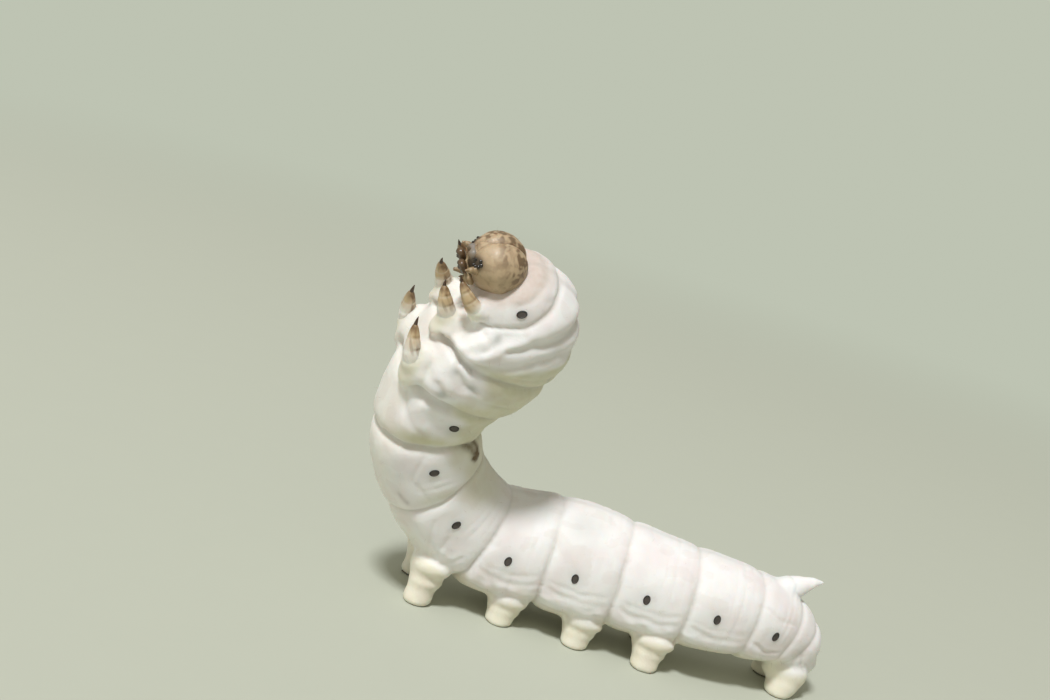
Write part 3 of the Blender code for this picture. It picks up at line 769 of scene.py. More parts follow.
def shell_material(name, base, dark, roughness, coat):
    """Horny plate with a darker pattern, from the attribute dark, and fine pits."""
    maker = Maker(name, roughness, **{
        "Coat Weight": coat,
        "Coat Roughness": 0.2,
        "Subsurface Weight": 0.08,
        "Subsurface Scale": 0.2 * MM,
    })
    blotch = maker.grain(0.55, 4, 0.6).between(0.42, 0.68)
    colour = maker.mix(blotch * 0.35, base, dark)
    colour = maker.mix(maker.attribute("dark").clamp(), colour, dark)
    colour = maker.mix(maker.attribute("black") * 0.85, colour, EYE_PATCH)
    pits = maker.cells(0.13)
    relief = maker.relief(maker.grain(0.1, 3) * 0.5 + pits * 0.6, 0.012, 0.6)
    return maker.done(colour, roughness + maker.grain(0.3) * 0.15, relief)


def leg_material(name):
    c = colours()
    maker = Maker(name, 0.4, **{"Coat Weight": 0.15, "Subsurface Weight": 0.12, "Subsurface Scale": 0.3 * MM})
    fine = maker.grain(0.3, 4)
    colour = maker.mix(maker.attribute("pale").clamp(), c.leg, PALE_ROOT)
    colour = maker.mix((maker.attribute("dark") * (0.7 + fine * 0.6)).clamp(), colour, c.plate)
    relief = maker.relief(fine * 0.6 + maker.cells(0.12) * 0.5, 0.015, 0.6)
    return maker.done(colour, 0.36 + fine * 0.15, relief)


def horny_material(name, colour, roughness):
    maker = Maker(name, roughness, **{"Coat Weight": 0.3, "Coat Roughness": 0.15})
    fine = maker.grain(0.12, 3)
    relief = maker.relief(fine, 0.006, 0.5)
    paler = tuple(min(1, k * 2.2 + 0.01) for k in colour)
    mixed = maker.mix(fine.between(0.45, 0.8) * 0.6, colour, paler)
    return maker.done(mixed, roughness + fine * 0.15, relief)


def material(name, make, *values):
    """The material of that name, made once."""
    return bpy.data.materials.get(name) or make(name, *values)


def soft_horn_material():
    """The tan of feelers and lobes of the mouth."""
    c = colours()
    return material("silkworm_lobe", shell_material, c.leg, c.plate, 0.4, 0.15)


def claw_material():
    return material("silkworm_claw", horny_material, colours().claw, 0.22)


# The skin.


def body_shell(per_ring=14, around=112):
    """The body's closed shell, from inside the head to the rounded hind end."""
    steps, angles = np.linspace(0, COUNT, COUNT * per_ring + 1), np.arange(around) * 360 / around
    loops = [skin(s, angles) for s in steps]
    forward = np.array(axes(JOINT_TURNS[0])[0])
    collar, centre = loops[0], np.array(JOINT_POINTS[0])
    for share, ahead in COLLAR_LOOPS:
        loops.insert(0, centre + (collar - centre) * share + forward * ahead)
    end, behind = loops[-1], np.array(axes(JOINT_TURNS[-1])[0])
    last = np.array(JOINT_POINTS[COUNT])
    for share in TAIL_LOOPS:
        turn = share * math.pi / 2
        loops.append(last + (end - last) * math.cos(turn) - behind * math.sin(turn) * TAIL_END[1])
    return tube(loops, centre + forward * COLLAR_TIP, last - behind * TAIL_END[1])


def square_to(way, toward):
    """The direction across way that is nearest to toward."""
    return (toward - way * toward.dot(way)).normalized()


def limb_shell(centres, radii, toward, level=0, around=24, fine=5):
    """A closed round limb along a bent line. Its loops lie flat round as many last centres as level says."""
    places = np.linspace(0, len(centres) - 1, (len(centres) - 1) * fine + 1)
    marks = np.arange(len(centres))
    line = np.stack([np.interp(places, marks, [c[k] for c in centres]) for k in range(3)], axis=1)
    sizes_along = np.interp(places, marks, radii)
    loops = []
    for k, (centre, radius) in enumerate(zip(line, sizes_along)):
        ahead = Vector(line[min(k + 1, len(line) - 1)] - line[max(k - 1, 0)]).normalized()
        if places[k] >= len(centres) - level - 0.5:
            ahead = Vector((0, 0, -1))
        u = square_to(ahead, toward)
        v = ahead.cross(u)
        loops.append([
            Vector(centre) + u * (math.cos(a) * radius) + v * (math.sin(a) * radius)
            for a in (2 * math.pi * j / around for j in range(around))
        ])
    return tube(loops, centres[0], centres[-1])


def ball_shell(centre, ways, halves, rows=12, around=20):
    """A closed egg with those half sizes along three directions."""
    ways = [np.array(w) for w in ways]
    loops = []
    for k in range(1, rows):
        e = math.pi * (k / rows - 0.5)
        loops.append([
            np.array(centre) + ways[0] * (math.cos(e) * math.cos(a) * halves[0])
            + ways[1] * (math.cos(e) * math.sin(a) * halves[1]) + ways[2] * (math.sin(e) * halves[2])
            for a in (2 * math.pi * j / around for j in range(around))
        ])
    return tube(loops, np.array(centre) - ways[2] * halves[2], np.array(centre) + ways[2] * halves[2])


def foot_line(s, side, half_track, back_set, parts):
    """Centres and radii of a foot from the side of the belly down to the floor."""
    root = skin_point(s, on_side(FOOT_ANGLE, side))
    point, turn = spine(s)
    left = axes(turn)[1]
    start = root + (point - root) * FOOT_SUNK
    foot = Vector((root.x + back_set, point.y + left.y * side * half_track, 0))
    return [start + (foot - start) * share for share, _ in parts], [radius for _, radius in parts]


def feet():
    """Name, centres, radii and side of every proleg and clasper."""
    found = []
    for side, word in SIDES:
        for ring in PROLEG_RINGS:
            s = NAMES.index(ring) + PROLEG_PLACE
            line = foot_line(s, side, PROLEG_HALF_TRACK, 0, PROLEG_PARTS)
            found.append((f"proleg_{ring[-1]}_{word}", *line, side))
        s = NAMES.index("abdomen_10") + CLASPER_PLACE
        line = foot_line(s, side, CLASPER_HALF_TRACK, CLASPER_BACK_SET, CLASPER_PARTS)
        found.append((f"anal_proleg_{word}", *line, side))
    return found


def leg_path(shape, side):
    """A leg's root, the ways out and forward there, and a function that gives its middle line's points."""
    s = NAMES.index(shape.ring) + shape.place
    angle = on_side(shape.angle, side)
    root, out = skin_point(s, angle), skin_normal(s, angle)
    forward, left, _ = axes(spine(s)[1])

    def path(share):
        bent = max(share, 0)
        lean = out * share + forward * shape.forward * bent**1.5 - left * side * shape.inward * bent**2
        return root + lean * shape.length

    return root, out, forward, path


def horn_line():
    """A function that gives the point of the horn's middle line at a share of it, and the way to its left."""
    s = NAMES.index("abdomen_8") + HORN_PLACE
    forward, left, back = axes(spine(s)[1])
    lean = math.radians(HORN_LEAN)
    way = back * math.cos(lean) - forward * math.sin(lean)
    under = -back * math.sin(lean) - forward * math.cos(lean)

    def path(share):
        sag = HORN_SAG * min(1, max(0, 1 - share / HORN_SAG_END))
        return skin_point(s, 90) + way * (HORN_LENGTH * share) + under * sag

    return path, left


def skin_lobes():
    """The soft swellings that carry the legs, prolegs and horn."""
    path, left = horn_line()
    shells = [limb_shell([path(share) for share, _ in HORN_ROOT], [radius for _, radius in HORN_ROOT], left)]
    for side, _ in SIDES:
        for shape, halves in zip(LEGS, LEG_LOBES):
            root, out, forward, path = leg_path(shape, side)
            along = square_to(out, forward)
            shells.append(ball_shell(root, (along, out.cross(along), out), halves))
            centres = [path(share) for share, _ in LEG_ROOT]
            shells.append(limb_shell(centres, [radius * shape.size for _, radius in LEG_ROOT], forward))
        for name, centres, _, foot_side in feet():
            if foot_side != side:
                continue
            for k, (back, inward, up), halves in PROLEG_BALLS if name.startswith("proleg") else CLASPER_BALLS:
                shells.append(ball_shell(centres[k] + Vector((back, side * inward, up)), WAYS, halves))
    return shells


def smooth_step(values, low, high):
    share = np.clip((values - low) / (high - low), 0, 1)
    return share * share * (3 - 2 * share)


def hump(values, middle, width):
    return np.exp(-(((values - middle) / width) ** 2))


def mirrored(angle):
    """The same angle on the left side."""
    return np.where(angle > 90, 180 - angle, angle)


def from_line(x, y, line):
    """How far points of a plane lie from a bent line."""
    nearest = np.full(len(x), np.inf)
    for (x0, y0), (x1, y1) in zip(line, line[1:]):
        across, up = x1 - x0, y1 - y0
        share = np.clip(((x - x0) * across + (y - y0) * up) / (across**2 + up**2), 0, 1)
        nearest = np.minimum(nearest, np.hypot(x - x0 - share * across, y - y0 - share * up))
    return nearest


def unrolled(s, angle):
    """Places on the skin as points of a plane, in millimetres."""
    return along_spine(SPINE_LENGTHS, np.asarray(s, float)), np.radians(angle) * UNROLL_RADIUS


def near_line(x, y, places, width):
    """1 on a line through places of the skin, falling away to that width."""
    return hump(from_line(x, y, list(zip(*unrolled(*zip(*places))))), 0, width)


def near_spot(x, y, s, angle, width):
    """1 at a place of the skin, falling away to that width."""
    across, up = unrolled(s, angle)
    return hump(np.hypot(x - across, y - up), 0, width)


def joint_distance(s, angle, length):
    """How far points lie from the fold between their ring and the next, in millimetres."""
    nearest = np.full(len(s), np.inf)
    for joint in range(1, COUNT):
        shift = np.interp(angle, *zip(*JOINT_SHIFTS[joint])) if joint in JOINT_SHIFTS else 0
        nearest = np.minimum(nearest, np.abs(s - joint - shift) * length)
    return nearest


def skin_relief(points, s, angle, off):
    """How far each point rises or sinks, and how deep it lies in a fold."""
    z = sizes()
    left_angle = mirrored(angle)
    ring = np.clip(np.floor(s), 0, COUNT - 1).astype(int)
    f = s - ring
    length = np.array([r.length for r in RINGS])[ring]
    on_body = 1 - smooth_step(off, 0.15, 0.6)
    broad, mid, small = waves(points, 2.6, 1), waves(points, 1.1, 2), waves(points, 0.45, 3)
    from_joint = joint_distance(s + mid * 0.014, left_angle, length)
    joint = hump(from_joint, 0, 0.13)
    valley = hump(from_joint, 0, 0.45)
    front, hind = smooth_step(s, 2.9, 4.2), 1 - smooth_step(s, 10.6, 11.2)
    upper = smooth_step(left_angle, -25, 5)
    creases = sum(deep * hump((f - place + broad * 0.01) * length, 0, 0.1) for place, deep in RING_CREASES)
    creases *= front * hind * upper * np.clip(0.6 + mid, 0.05, 1.2)
    soft_back = 1 - 0.55 * smooth_step(left_angle, 15, 55) * smooth_step(s, 4.6, 5.4) * hind
    soft_back *= 1 - 0.55 * smooth_step(s, 9.4, 10.4)
    ruffle = waves(points * np.array((1, 1, 1.6)), 0.8, 17)
    ruffle *= hump(left_angle, -32, 13) * smooth_step(s, 5.0, 6.2)
    inside = 4 * f * (1 - f)
    flank = smooth_step(s, 5.2, 6.6) * hind * (1 - 0.4 * smooth_step(s, 9, 10))
    groove = 0.5 * hump(left_angle, -11 + 5 * (2 * f - 1) ** 2 + mid * 3, 2.4)
    groove += hump(left_angle, -21 + 7 * (2 * f - 1.1) ** 2 + mid * 3, 2.8) * (1 - 0.5 * f)
    groove *= smooth_step(inside, 0.05, 0.5)
    lower_groove = hump(left_angle, -46 + 8 * (2 * f - 1) ** 2, 3.4) * smooth_step(inside, 0.1, 0.6)
    pad = hump(left_angle, -32, 8) * inside
    pleats = np.sin(np.radians(angle) * 46 + broad * 5) * valley * (1 - joint)
    x, y = unrolled(s + mid * 0.02, left_angle + broad * 2)
    single, single_sunk = 0, 0
    for crease in CREASES:
        shape = near_line(x, y, crease.points, crease.width)
        single = single - crease.depth * shape
        single_sunk = single_sunk + max(crease.depth, 0) * 4 * shape
    rise = (
        (-z.joint_depth / MM * joint - 0.09 * valley) * soft_back
        + 0.09 * ruffle
        - z.crease_depth / MM * creases
        - 0.09 * groove * flank
        - 0.08 * lower_groove * flank
        + z.swelling / MM * (pad - 0.3) * flank * 0.6
        + single
        + 0.01 * pleats
        + z.unevenness / MM * (broad * 0.7 + mid * 0.55 + small * 0.2 - 0.25)
    )
    sunk = (
        joint * soft_back
        - 0.25 * np.minimum(ruffle, 0)
        + (0.4 * groove + 0.5 * lower_groove) * flank
        + single_sunk
        + 0.15 * creases
    )
    return rise * on_body, np.clip(sunk * on_body, 0, 1)


def skin_colours(mesh, points, s, angle, off, sunk):
    left_angle = mirrored(angle)
    ragged = waves(points, 1.3, 5)
    # Belly tint on the underside and on limbs, stronger towards the tail: partly cream of the belly and
    # prolegs, partly painted shade.
    low = 1 - smooth_step(left_angle + ragged * 12, -62, -22)
    limb = smooth_step(off, 0.2, 0.8) * (1 - smooth_step(left_angle, 0, 20))
    belly = np.maximum(low * (0.35 + 0.65 * smooth_step(s, 5, 6.5)), limb * 0.9)
    # Painted shade, tinted olive, on the back of the bend and along the hind edges of abdomen 1 and 2.
    edge = np.interp(s, *zip(*SHADE_EDGE))
    bend_shade = smooth_step(left_angle - edge + ragged * 14, -14, 20) * np.interp(s, *zip(*SHADE_SHARE))
    under = sum(
        share * hump(s, place, width) * hump(left_angle, turn, spread)
        for place, width, turn, spread, share in LOW_SHADES
    )
    store(mesh, "belly", belly * 0.8)
    store(mesh, "olive", np.clip(np.maximum(bend_shade, under * (0.8 + 0.25 * ragged)), 0, 1))
    # Painted shade down in the folds, as deep as each point lies in one.
    store(mesh, "fold", sunk)
    x, y = unrolled(s + ragged * 0.02, left_angle)
    marks = sum(near_line(x, y, line, width) * share for width, share, line in MARKS)
    store(mesh, "mark", np.clip(marks, 0, 1))
    # Grey spots, grey rings round the spiracles and a grey line along the back, with wide patches of painted
    # shade.
    grey_spots_and_shade = sum(near_spot(x, y, place, turn, width) * share for width, share, place, turn in GREY_SPOTS_AND_SHADE)
    holes = sum(near_spot(x, y, *spiracle_place(ring), SPIRACLE_HALO) for ring in SPIRACLE_RINGS)
    store(mesh, "grey", np.clip(hump(left_angle, 90, 5) * 0.25 + grey_spots_and_shade + holes * 0.35, 0, 1))
    collar = 1 - smooth_step(s + ragged * 0.05, 0.02, 0.34)
    store(mesh, "blush", np.clip(collar + 0.15 * (ragged > 0.3), 0, 1))


def make_skin():
    """The skin's shells melted into one, with its relief and its tints."""
    shells = [body_shell()]
    for _, centres, radii, _ in feet():
        shells.append(limb_shell(centres, radii, WAYS[0], level=2))
    shells += skin_lobes()
    obj = new_object("skin_draft", *join_shells(shells))
    grain = sizes().grain / MM * 1
    apply_modifier(obj, "REMESH", mode="VOXEL", voxel_size=grain)
    relax(obj.data, 0.5, 8)
    points = coordinates(obj.data)
    s, angle, off = body_coordinates(points)
    rise, sunk = skin_relief(points, s, angle, off)
    moved = points + normals_of(obj.data) * rise[:, None]
    moved[:, 2] = np.maximum(moved[:, 2], 0)
    set_coordinates(obj.data, moved)
    relax(obj.data, 0.3, 1)
    skin_colours(obj.data, points, s, angle, off, sunk)
    return obj


class SILKWORM_OT_skin(bpy.types.Operator):
    """Makes the whole soft skin as one piece, with its folds, pads and tints"""

    bl_idname = "silkworm.skin"
    bl_label = "Skin"

    def execute(self, context):
        obj = make_skin()
        nodes = NAMES + [name for name, _, _, _ in feet()]
        finish_piece(obj, "skin", material("silkworm_skin", skin_material), nodes)
        return {"FINISHED"}


def skin_tree():
    """The finished skin, in millimetres, to set small pieces on."""
    mesh = bpy.data.objects["skin"].data
    points = coordinates(mesh) / MM + np.array(MIDDLE)
    return BVHTree.FromPolygons([tuple(p) for p in points], [tuple(f.vertices) for f in mesh.polygons])


def on_skin(tree, s, angle):
    """The point and normal of the finished skin at that place of the body."""
    normal = skin_normal(s, angle)
    place, found, _, _ = tree.ray_cast(skin_point(s, angle) + normal * 1.5, -normal)
    if place is None:
        place, found, _, _ = tree.find_nearest(skin_point(s, angle))
    return place, found


# Pieces that are modelled in edit mode.


def stack(sections, around=16):
    """A closed round form along Z, drawn out section by section: height and radius."""
    deselect()
    height, radius = sections[0]
    bpy.ops.mesh.primitive_circle_add(
        vertices=around, radius=radius, fill_type="NGON", location=(0, 0, 0), enter_editmode=True
    )
    bpy.ops.mesh.select_all(action="SELECT")
    bpy.ops.transform.translate(value=(0, 0, height))
    for (low, wide), (high, narrow) in zip(sections, sections[1:]):
        bpy.ops.mesh.extrude_region_move(TRANSFORM_OT_translate={"value": (0, 0, high - low)})
        share = narrow / wide
        bpy.ops.transform.resize(value=(share, share, 1), center_override=(0, 0, high))
    bpy.ops.object.mode_set(mode="OBJECT")
    obj = bpy.context.active_object
    obj.data.transform(obj.matrix_world)
    obj.matrix_world = Matrix.Identity(4)
    turn_outward(obj.data)
    return obj


def copy_of(obj):
    return link_object("copy", obj.data.copy())


def lay(obj, place, x_way, z_way):
    """Sets the mesh at a place with its X and Z along those ways, and returns the object."""
    z_way = z_way.normalized()
    x_way = square_to(z_way, x_way)
    turn = Matrix((x_way, z_way.cross(x_way), z_way)).transposed().to_4x4()
    obj.data.transform(Matrix.Translation(place) @ turn)
    return obj


def merge(objects):
    """One object of several, which are removed."""
    deselect()
    for obj in objects:
        obj.select_set(True)
    bpy.context.view_layer.objects.active = objects[0]
    bpy.ops.object.join()
    return bpy.context.active_object


def remove(*objects):
    for obj in objects:
        bpy.data.objects.remove(obj)


def path_ways(path, share, toward):
    """The way ahead along a path and the two ways across it, the first of them nearest to toward."""
    ahead = (path(share + 0.02) - path(share - 0.02)).normalized()
    across = square_to(ahead, toward)
    return ahead, across, ahead.cross(across)


def bend_along(obj, path, toward, length):
    """Lays a straight form of that length along a path."""
    points = coordinates(obj.data)
    for k, (x, y, z) in enumerate(points):
        share = z / length
        _, u, v = path_ways(path, share, toward)
        points[k] = path(share) + u * x + v * y
    set_coordinates(obj.data, points)
    turn_outward(obj.data)


# The horn.

HORN_SECTIONS = (
    (0.4, 0.9), (0.6, 0.93), (0.8, 0.89), (1.0, 0.83), (1.25, 0.75), (1.5, 0.66), (1.75, 0.57), (2.0, 0.48),
    (2.25, 0.38), (2.5, 0.28), (2.75, 0.18), (2.9, 0.11), (2.97, 0.04)
)


class SILKWORM_OT_horn(bpy.types.Operator):
    """Makes the soft horn on the back of the eighth abdominal ring"""

    bl_idname = "silkworm.horn"
    bl_label = "Horn"

    def execute(self, context):
        path, left = horn_line()
        obj = stack(HORN_SECTIONS, 20)
        subdivide(obj, 2)
        points = coordinates(obj.data)
        points += normals_of(obj.data) * (waves(points, 0.5, 9) * 0.03)[:, None]
        set_coordinates(obj.data, points)
        bend_along(obj, path, left, HORN_LENGTH)
        for name in SKIN_TINTS_AND_SHADES:
            store(obj.data, name, np.zeros(len(obj.data.vertices)))
        finish_piece(obj, "tail_horn", material("silkworm_skin", skin_material), ["horn"])
        return {"FINISHED"}


# The head.


def head_relief(elevation, azimuth):
    """How far the head's shell rises at those angles, in millimetres, and how dark it is."""
    wrapped = (azimuth + 180) % 360 - 180
    across = np.radians(wrapped) * np.cos(np.radians(elevation)) * HEAD_HALF[1]
    up = np.radians(elevation) * HEAD_HALF[2]
    front = smooth_step(-np.abs(wrapped), -100, -60)
    apex, base, half = 0.25, -1.15, 0.66
    edge = half * (apex - up) / (apex - base)
    face = smooth_step(up, base - 0.1, base) * smooth_step(-up, -apex - 0.05, -apex + 0.05) * front
    suture = hump(across, 0, 0.05) * np.maximum(smooth_step(up, apex - 0.1, apex + 0.1), 1 - front)
    frons = hump(np.abs(across), np.maximum(edge, 0), 0.05) * face
    second = hump(np.abs(across), np.maximum(edge, 0) + 0.17, 0.04) * face
    clypeus = hump(up, -0.85, 0.05) * smooth_step(-np.abs(across), -0.6, -0.45) * front
    inside = smooth_step(edge - np.abs(across), -0.05, 0.1) * face
    rise = -0.06 * suture - 0.05 * frons - 0.025 * second - 0.04 * clypeus - 0.03 * inside
    behind = smooth_step(np.abs(wrapped), 96, 128)
    low = smooth_step(-elevation, 34, 52) * 0.7
    eye = [np.radians(elevation - STEMMA_CENTRE[0] + 7) * HEAD_HALF[2],
           np.radians(np.abs(wrapped) - STEMMA_CENTRE[1]) * HEAD_HALF[1] * 0.94]
    patch = np.exp(-((np.hypot(*eye) / 0.7) ** 4))
    dark = 0.7 * suture + 0.6 * frons + 0.3 * second + 0.12 * behind + low + 1.1 * patch + 0.3 * clypeus
    return rise + 0.03 * patch, dark, patch


def make_head():
    deselect()
    bpy.ops.mesh.primitive_uv_sphere_add(segments=176, ring_count=112, radius=1, location=(0, 0, 0))
    obj = bpy.context.active_object
    unit = coordinates(obj.data)
    elevation = np.degrees(np.arcsin(np.clip(unit[:, 2], -1, 1)))
    azimuth = np.degrees(np.arctan2(unit[:, 1], unit[:, 0]))
    rise, dark, patch = head_relief(elevation, azimuth)
    smooth = head_shape(elevation, azimuth, rise)
    dents = waves(smooth, 1.1, 11) * 0.03 + waves(smooth, 0.4, 12) * 0.01
    smooth += unit * dents[:, None]
    net = waves(smooth, 0.55, 13) + 0.6 * waves(smooth, 0.25, 14)
    above = np.maximum(smooth_step(elevation, -5, 45), smooth_step(-smooth[:, 1], -0.6, 0.6))
    dark = dark + above * smooth_step(net, -0.1, 0.3) * 0.95
    set_coordinates(obj.data, head_local(smooth))
    store(obj.data, "dark", dark)
    store(obj.data, "black", patch)
    turn_outward(obj.data)
    return obj


class SILKWORM_OT_head(bpy.types.Operator):
    """Makes the head's shell with its two domes, sutures and darker net"""

    bl_idname = "silkworm.head"
    bl_label = "Head shell"

    def execute(self, context):
        c = colours()
        finish = material("silkworm_head", shell_material, c.head, c.head_dark, 0.44, 0.06)
        finish_piece(make_head(), "head_shell", finish, ["head_capsule"])
        return {"FINISHED"}


# The small eyes round the middle of their patch: angle, and share of the ring's radius.
STEMMA_PLACES = ((-70, 0.9), (-30, 1.05), (8, 1), (45, 1.08), (92, 0.85), (195, 0.8))
LENS_SECTIONS = (
    (-0.12, 0.13), (0.0, 0.13), (0.02, 0.12), (0.025, 0.11), (0.02, 0.1), (0.05, 0.09), (0.08, 0.07),
    (0.095, 0.04), (0.1, 0.012)
)


def stemma_angles(side):
    """Elevation and azimuth of the six small eyes of a side."""
    elevation, azimuth = STEMMA_CENTRE
    reach = math.degrees(STEMMA_RING / HEAD_HALF[1])
    found = []
    for angle, share in STEMMA_PLACES:
        up, around = math.sin(math.radians(angle)), math.cos(math.radians(angle))
        found.append((elevation + up * share * reach, side * (azimuth + around * share * reach)))
    return found


def head_direction(elevation, azimuth):
    """The way out of the head's shell, as a direction of the model."""
    around = head_shape(elevation, azimuth + 1) - head_shape(elevation, azimuth - 1)
    up = head_shape(elevation + 1, azimuth) - head_shape(elevation - 1, azimuth)
    local = np.cross(around, up)
    return Vector(head_local(local) - head_local(np.zeros(3))).normalized()


class SILKWORM_OT_eyes(bpy.types.Operator):
    """Makes the six small eyes on each side of the head"""

    bl_idname = "silkworm.eyes"
    bl_label = "Small eyes"

    def execute(self, context):
        lens = stack(LENS_SECTIONS, 20)
        finish = material("silkworm_eye", horny_material, EYE, 0.12)
        for side, word in SIDES:
            made = []
            for elevation, azimuth in stemma_angles(side):
                place = Vector(head_local(head_shape(elevation, azimuth, 0.03)))
                made.append(lay(copy_of(lens), place, head_frame()[3], head_direction(elevation, azimuth)))
            finish_piece(merge(made), f"eyes_{word}", finish)
        remove(lens)
        return {"FINISHED"}


def pad_points(shape, side, power=0.75, rows=20, around=32):
    """A rounded block of the head, in its own frame, as points and faces."""
    middle, half = shape
    loops = []
    for k in range(1, rows):
        e = math.pi * (0.5 - k / rows)
        loop = []
        for j in range(around):
            a = 2 * math.pi * j / around
            way = (math.cos(e) * math.cos(a), math.cos(e) * math.sin(a), math.sin(e))
            x, y, z = (math.copysign(abs(w) ** power, w) * h for w, h in zip(way, half))
            loop.append((middle[0] + x, (middle[1] + y) * side, middle[2] + z))
        loops.append(loop)
    y = middle[1] * side
    return tube(loops, (middle[0], y, middle[2] + half[2]), (middle[0], y, middle[2] - half[2]))


def head_block(shape, side, carve):
    """A mouthpart from a rounded block that carve reshapes, with its attribute dark."""
    points, faces = pad_points(shape, side)
    middle, half = np.array(shape)
    middle[1] *= side
    unit = (points - middle) / half
    unit[:, 1] *= side
    moved, dark = carve(unit)
    moved[:, 1] *= side
    obj = new_object("block", head_local(middle + moved * half), faces)
    store(obj.data, "dark", dark)
    return obj


def carve_labrum(unit):
    """The upper lip: a shield with a notch in its lower edge."""
    moved = unit.copy()
    low = smooth_step(-unit[:, 2], -0.2, 1)
    notch = hump(unit[:, 1], 0, 0.3) * low
    moved[:, 2] += notch * 0.75
    moved[:, 0] += 0.12 * hump(np.abs(unit[:, 1]), 0.5, 0.3) - 0.1 * hump(unit[:, 1], 0, 0.2)
    return moved, 0.1 + 0.6 * low


def carve_mandible(unit):
    """A jaw: broad above, with three blunt teeth along its edge."""
    moved = unit.copy()
    low = smooth_step(-unit[:, 2], 0.1, 1)
    teeth = 0.5 + 0.5 * np.cos(unit[:, 0] * math.pi * 2.5)
    moved[:, 2] += low * (0.45 - 0.5 * teeth)
    moved[:, 1] *= 1 - 0.35 * low
    moved[:, 1] += 0.18 * np.abs(unit[:, 0]) * (1 - low)
    return moved, 0.55 + 0.45 * low


def carve_lobe(unit):
    """A soft lobe that narrows downwards, with rings around it."""
    moved = unit.copy()
    low = smooth_step(-unit[:, 2], -0.4, 1)
    rings = 1 - 0.07 * np.cos(unit[:, 2] * 9)
    moved[:, 0] *= rings * (1 - 0.25 * low)
    moved[:, 1] *= rings * (1 - 0.25 * low)
    return moved, 0.15 + 0.55 * hump(unit[:, 2], -0.35, 0.16) + 0.4 * hump(unit[:, 2], 0.35, 0.15)


PALP_SECTIONS = (
    (-0.1, 0.15), (0.04, 0.15), (0.07, 0.135), (0.1, 0.12), (0.2, 0.115), (0.22, 0.09), (0.24, 0.075),
    (0.32, 0.07), (0.34, 0.04), (0.4, 0.03)
)
PALP_PLACES = ((0.12, -0.1), (-0.02, 0.12))  # from the middle of the side lobe, ahead and outward
SPINNERET_SECTIONS = (
    (-0.25, 0.3), (0, 0.28), (0.2, 0.24), (0.35, 0.2), (0.42, 0.17), (0.6, 0.14), (0.72, 0.12), (0.73, 0.08),
    (0.66, 0.06)
)


def head_way(x, y, z):
    _, forward, left, top = head_frame()
    return forward * x + left * y + top * z


def limb_of_head(sections, place, way, around=16):
    """A small limb of the head, from sections, with darker bands where it narrows."""
    obj = stack(sections, around)
    heights = coordinates(obj.data)[:, 2]
    steps = [h for (h, r), (_, after) in zip(sections, sections[1:]) if after < r * 0.93]
    store(obj.data, "dark", sum(hump(heights, h, 0.04) for h in steps) * 0.4 + 0.25)
    subdivide(obj, 1)
    return lay(obj, Vector(head_local(place)), head_frame()[1], head_way(*way))


class SILKWORM_OT_mouthparts(bpy.types.Operator):
    """Makes the upper lip, jaws, side lobes with their palps, lower lip and spinneret"""

    bl_idname = "silkworm.mouthparts"
    bl_label = "Mouthparts"

    def execute(self, context):
        c = colours()
        jaw = material("silkworm_jaw", shell_material, c.plate, c.claw, 0.26, 0.4)
        soft = soft_horn_material()
        pale = material("silkworm_lip", shell_material, UPPER_LIP, c.plate, 0.4, 0.1)
        finish_piece(head_block(LABRUM, 1, carve_labrum), "upper_lip", pale, ["labrum"])
        (x, y, z), half = MAXILLA
        for side, word in SIDES:
            mandible = head_block(MANDIBLE, side, carve_mandible)
            finish_piece(mandible, f"jaw_{word}", jaw, [f"mandible_{word}"])
            made = [head_block(MAXILLA, side, carve_lobe)]
            for ahead, outward in PALP_PLACES:
                place = (x + ahead, (y + outward) * side, z - half[2] + 0.12)
                made.append(limb_of_head(PALP_SECTIONS, place, (0.25, -0.2 * side, -1)))
            finish_piece(merge(made), f"side_lobe_{word}", soft)
        place, way = SPINNERET
        lip = head_block(LABIUM, 1, carve_lobe)
        tube_piece = limb_of_head(SPINNERET_SECTIONS, place, way, 18)
        finish_piece(merge([lip, tube_piece]), "lower_lip", soft, ["labium"])
        return {"FINISHED"}


ANTENNA_SECTIONS = (
    (-0.2, 0.32), (0.04, 0.32), (0.1, 0.31), (0.16, 0.27), (0.19, 0.23), (0.24, 0.23), (0.4, 0.21),
    (0.43, 0.165), (0.47, 0.16), (0.6, 0.15), (0.63, 0.09), (0.66, 0.075), (0.74, 0.07), (0.77, 0.03)
)


class SILKWORM_OT_antennae(bpy.types.Operator):
    """Makes the two short antennae in their pale sockets"""

    bl_idname = "silkworm.antennae"
    bl_label = "Antennae"

    def execute(self, context):
        (x, y, z), (ahead, outward, up) = ANTENNA
        for side, word in SIDES:
            obj = limb_of_head(ANTENNA_SECTIONS, (x, y * side, z), (ahead, outward * side * 0.6, up), 18)
            finish_piece(obj, f"feeler_{word}", soft_horn_material(), [f"antenna_{word}"])
        return {"FINISHED"}


# The true legs.

LEG_SECTIONS = (
    (-0.1, 0.66), (0.1, 0.7), (0.3, 0.7), (0.42, 0.68), (0.5, 0.63), (0.53, 0.59), (0.57, 0.58), (0.67, 0.54),
    (0.725, 0.49), (0.75, 0.45), (0.785, 0.44), (0.86, 0.37), (0.91, 0.3), (0.96, 0.2), (0.99, 0.1)
)
LEG_JOINTS = (0.3, 0.54, 0.755)

# Where the pale root of each leg starts to fade, and where it ends.
LEG_PALE = {"thorax_1": (0.24, 0.58), "thorax_2": (0.3, 0.66), "thorax_3": (0.4, 0.85)}
CLAW_SECTIONS = (
    (0.9, 0.15), (0.94, 0.16), (0.98, 0.15), (1.02, 0.12), (1.05, 0.09), (1.08, 0.05), (1.1, 0.02)
)


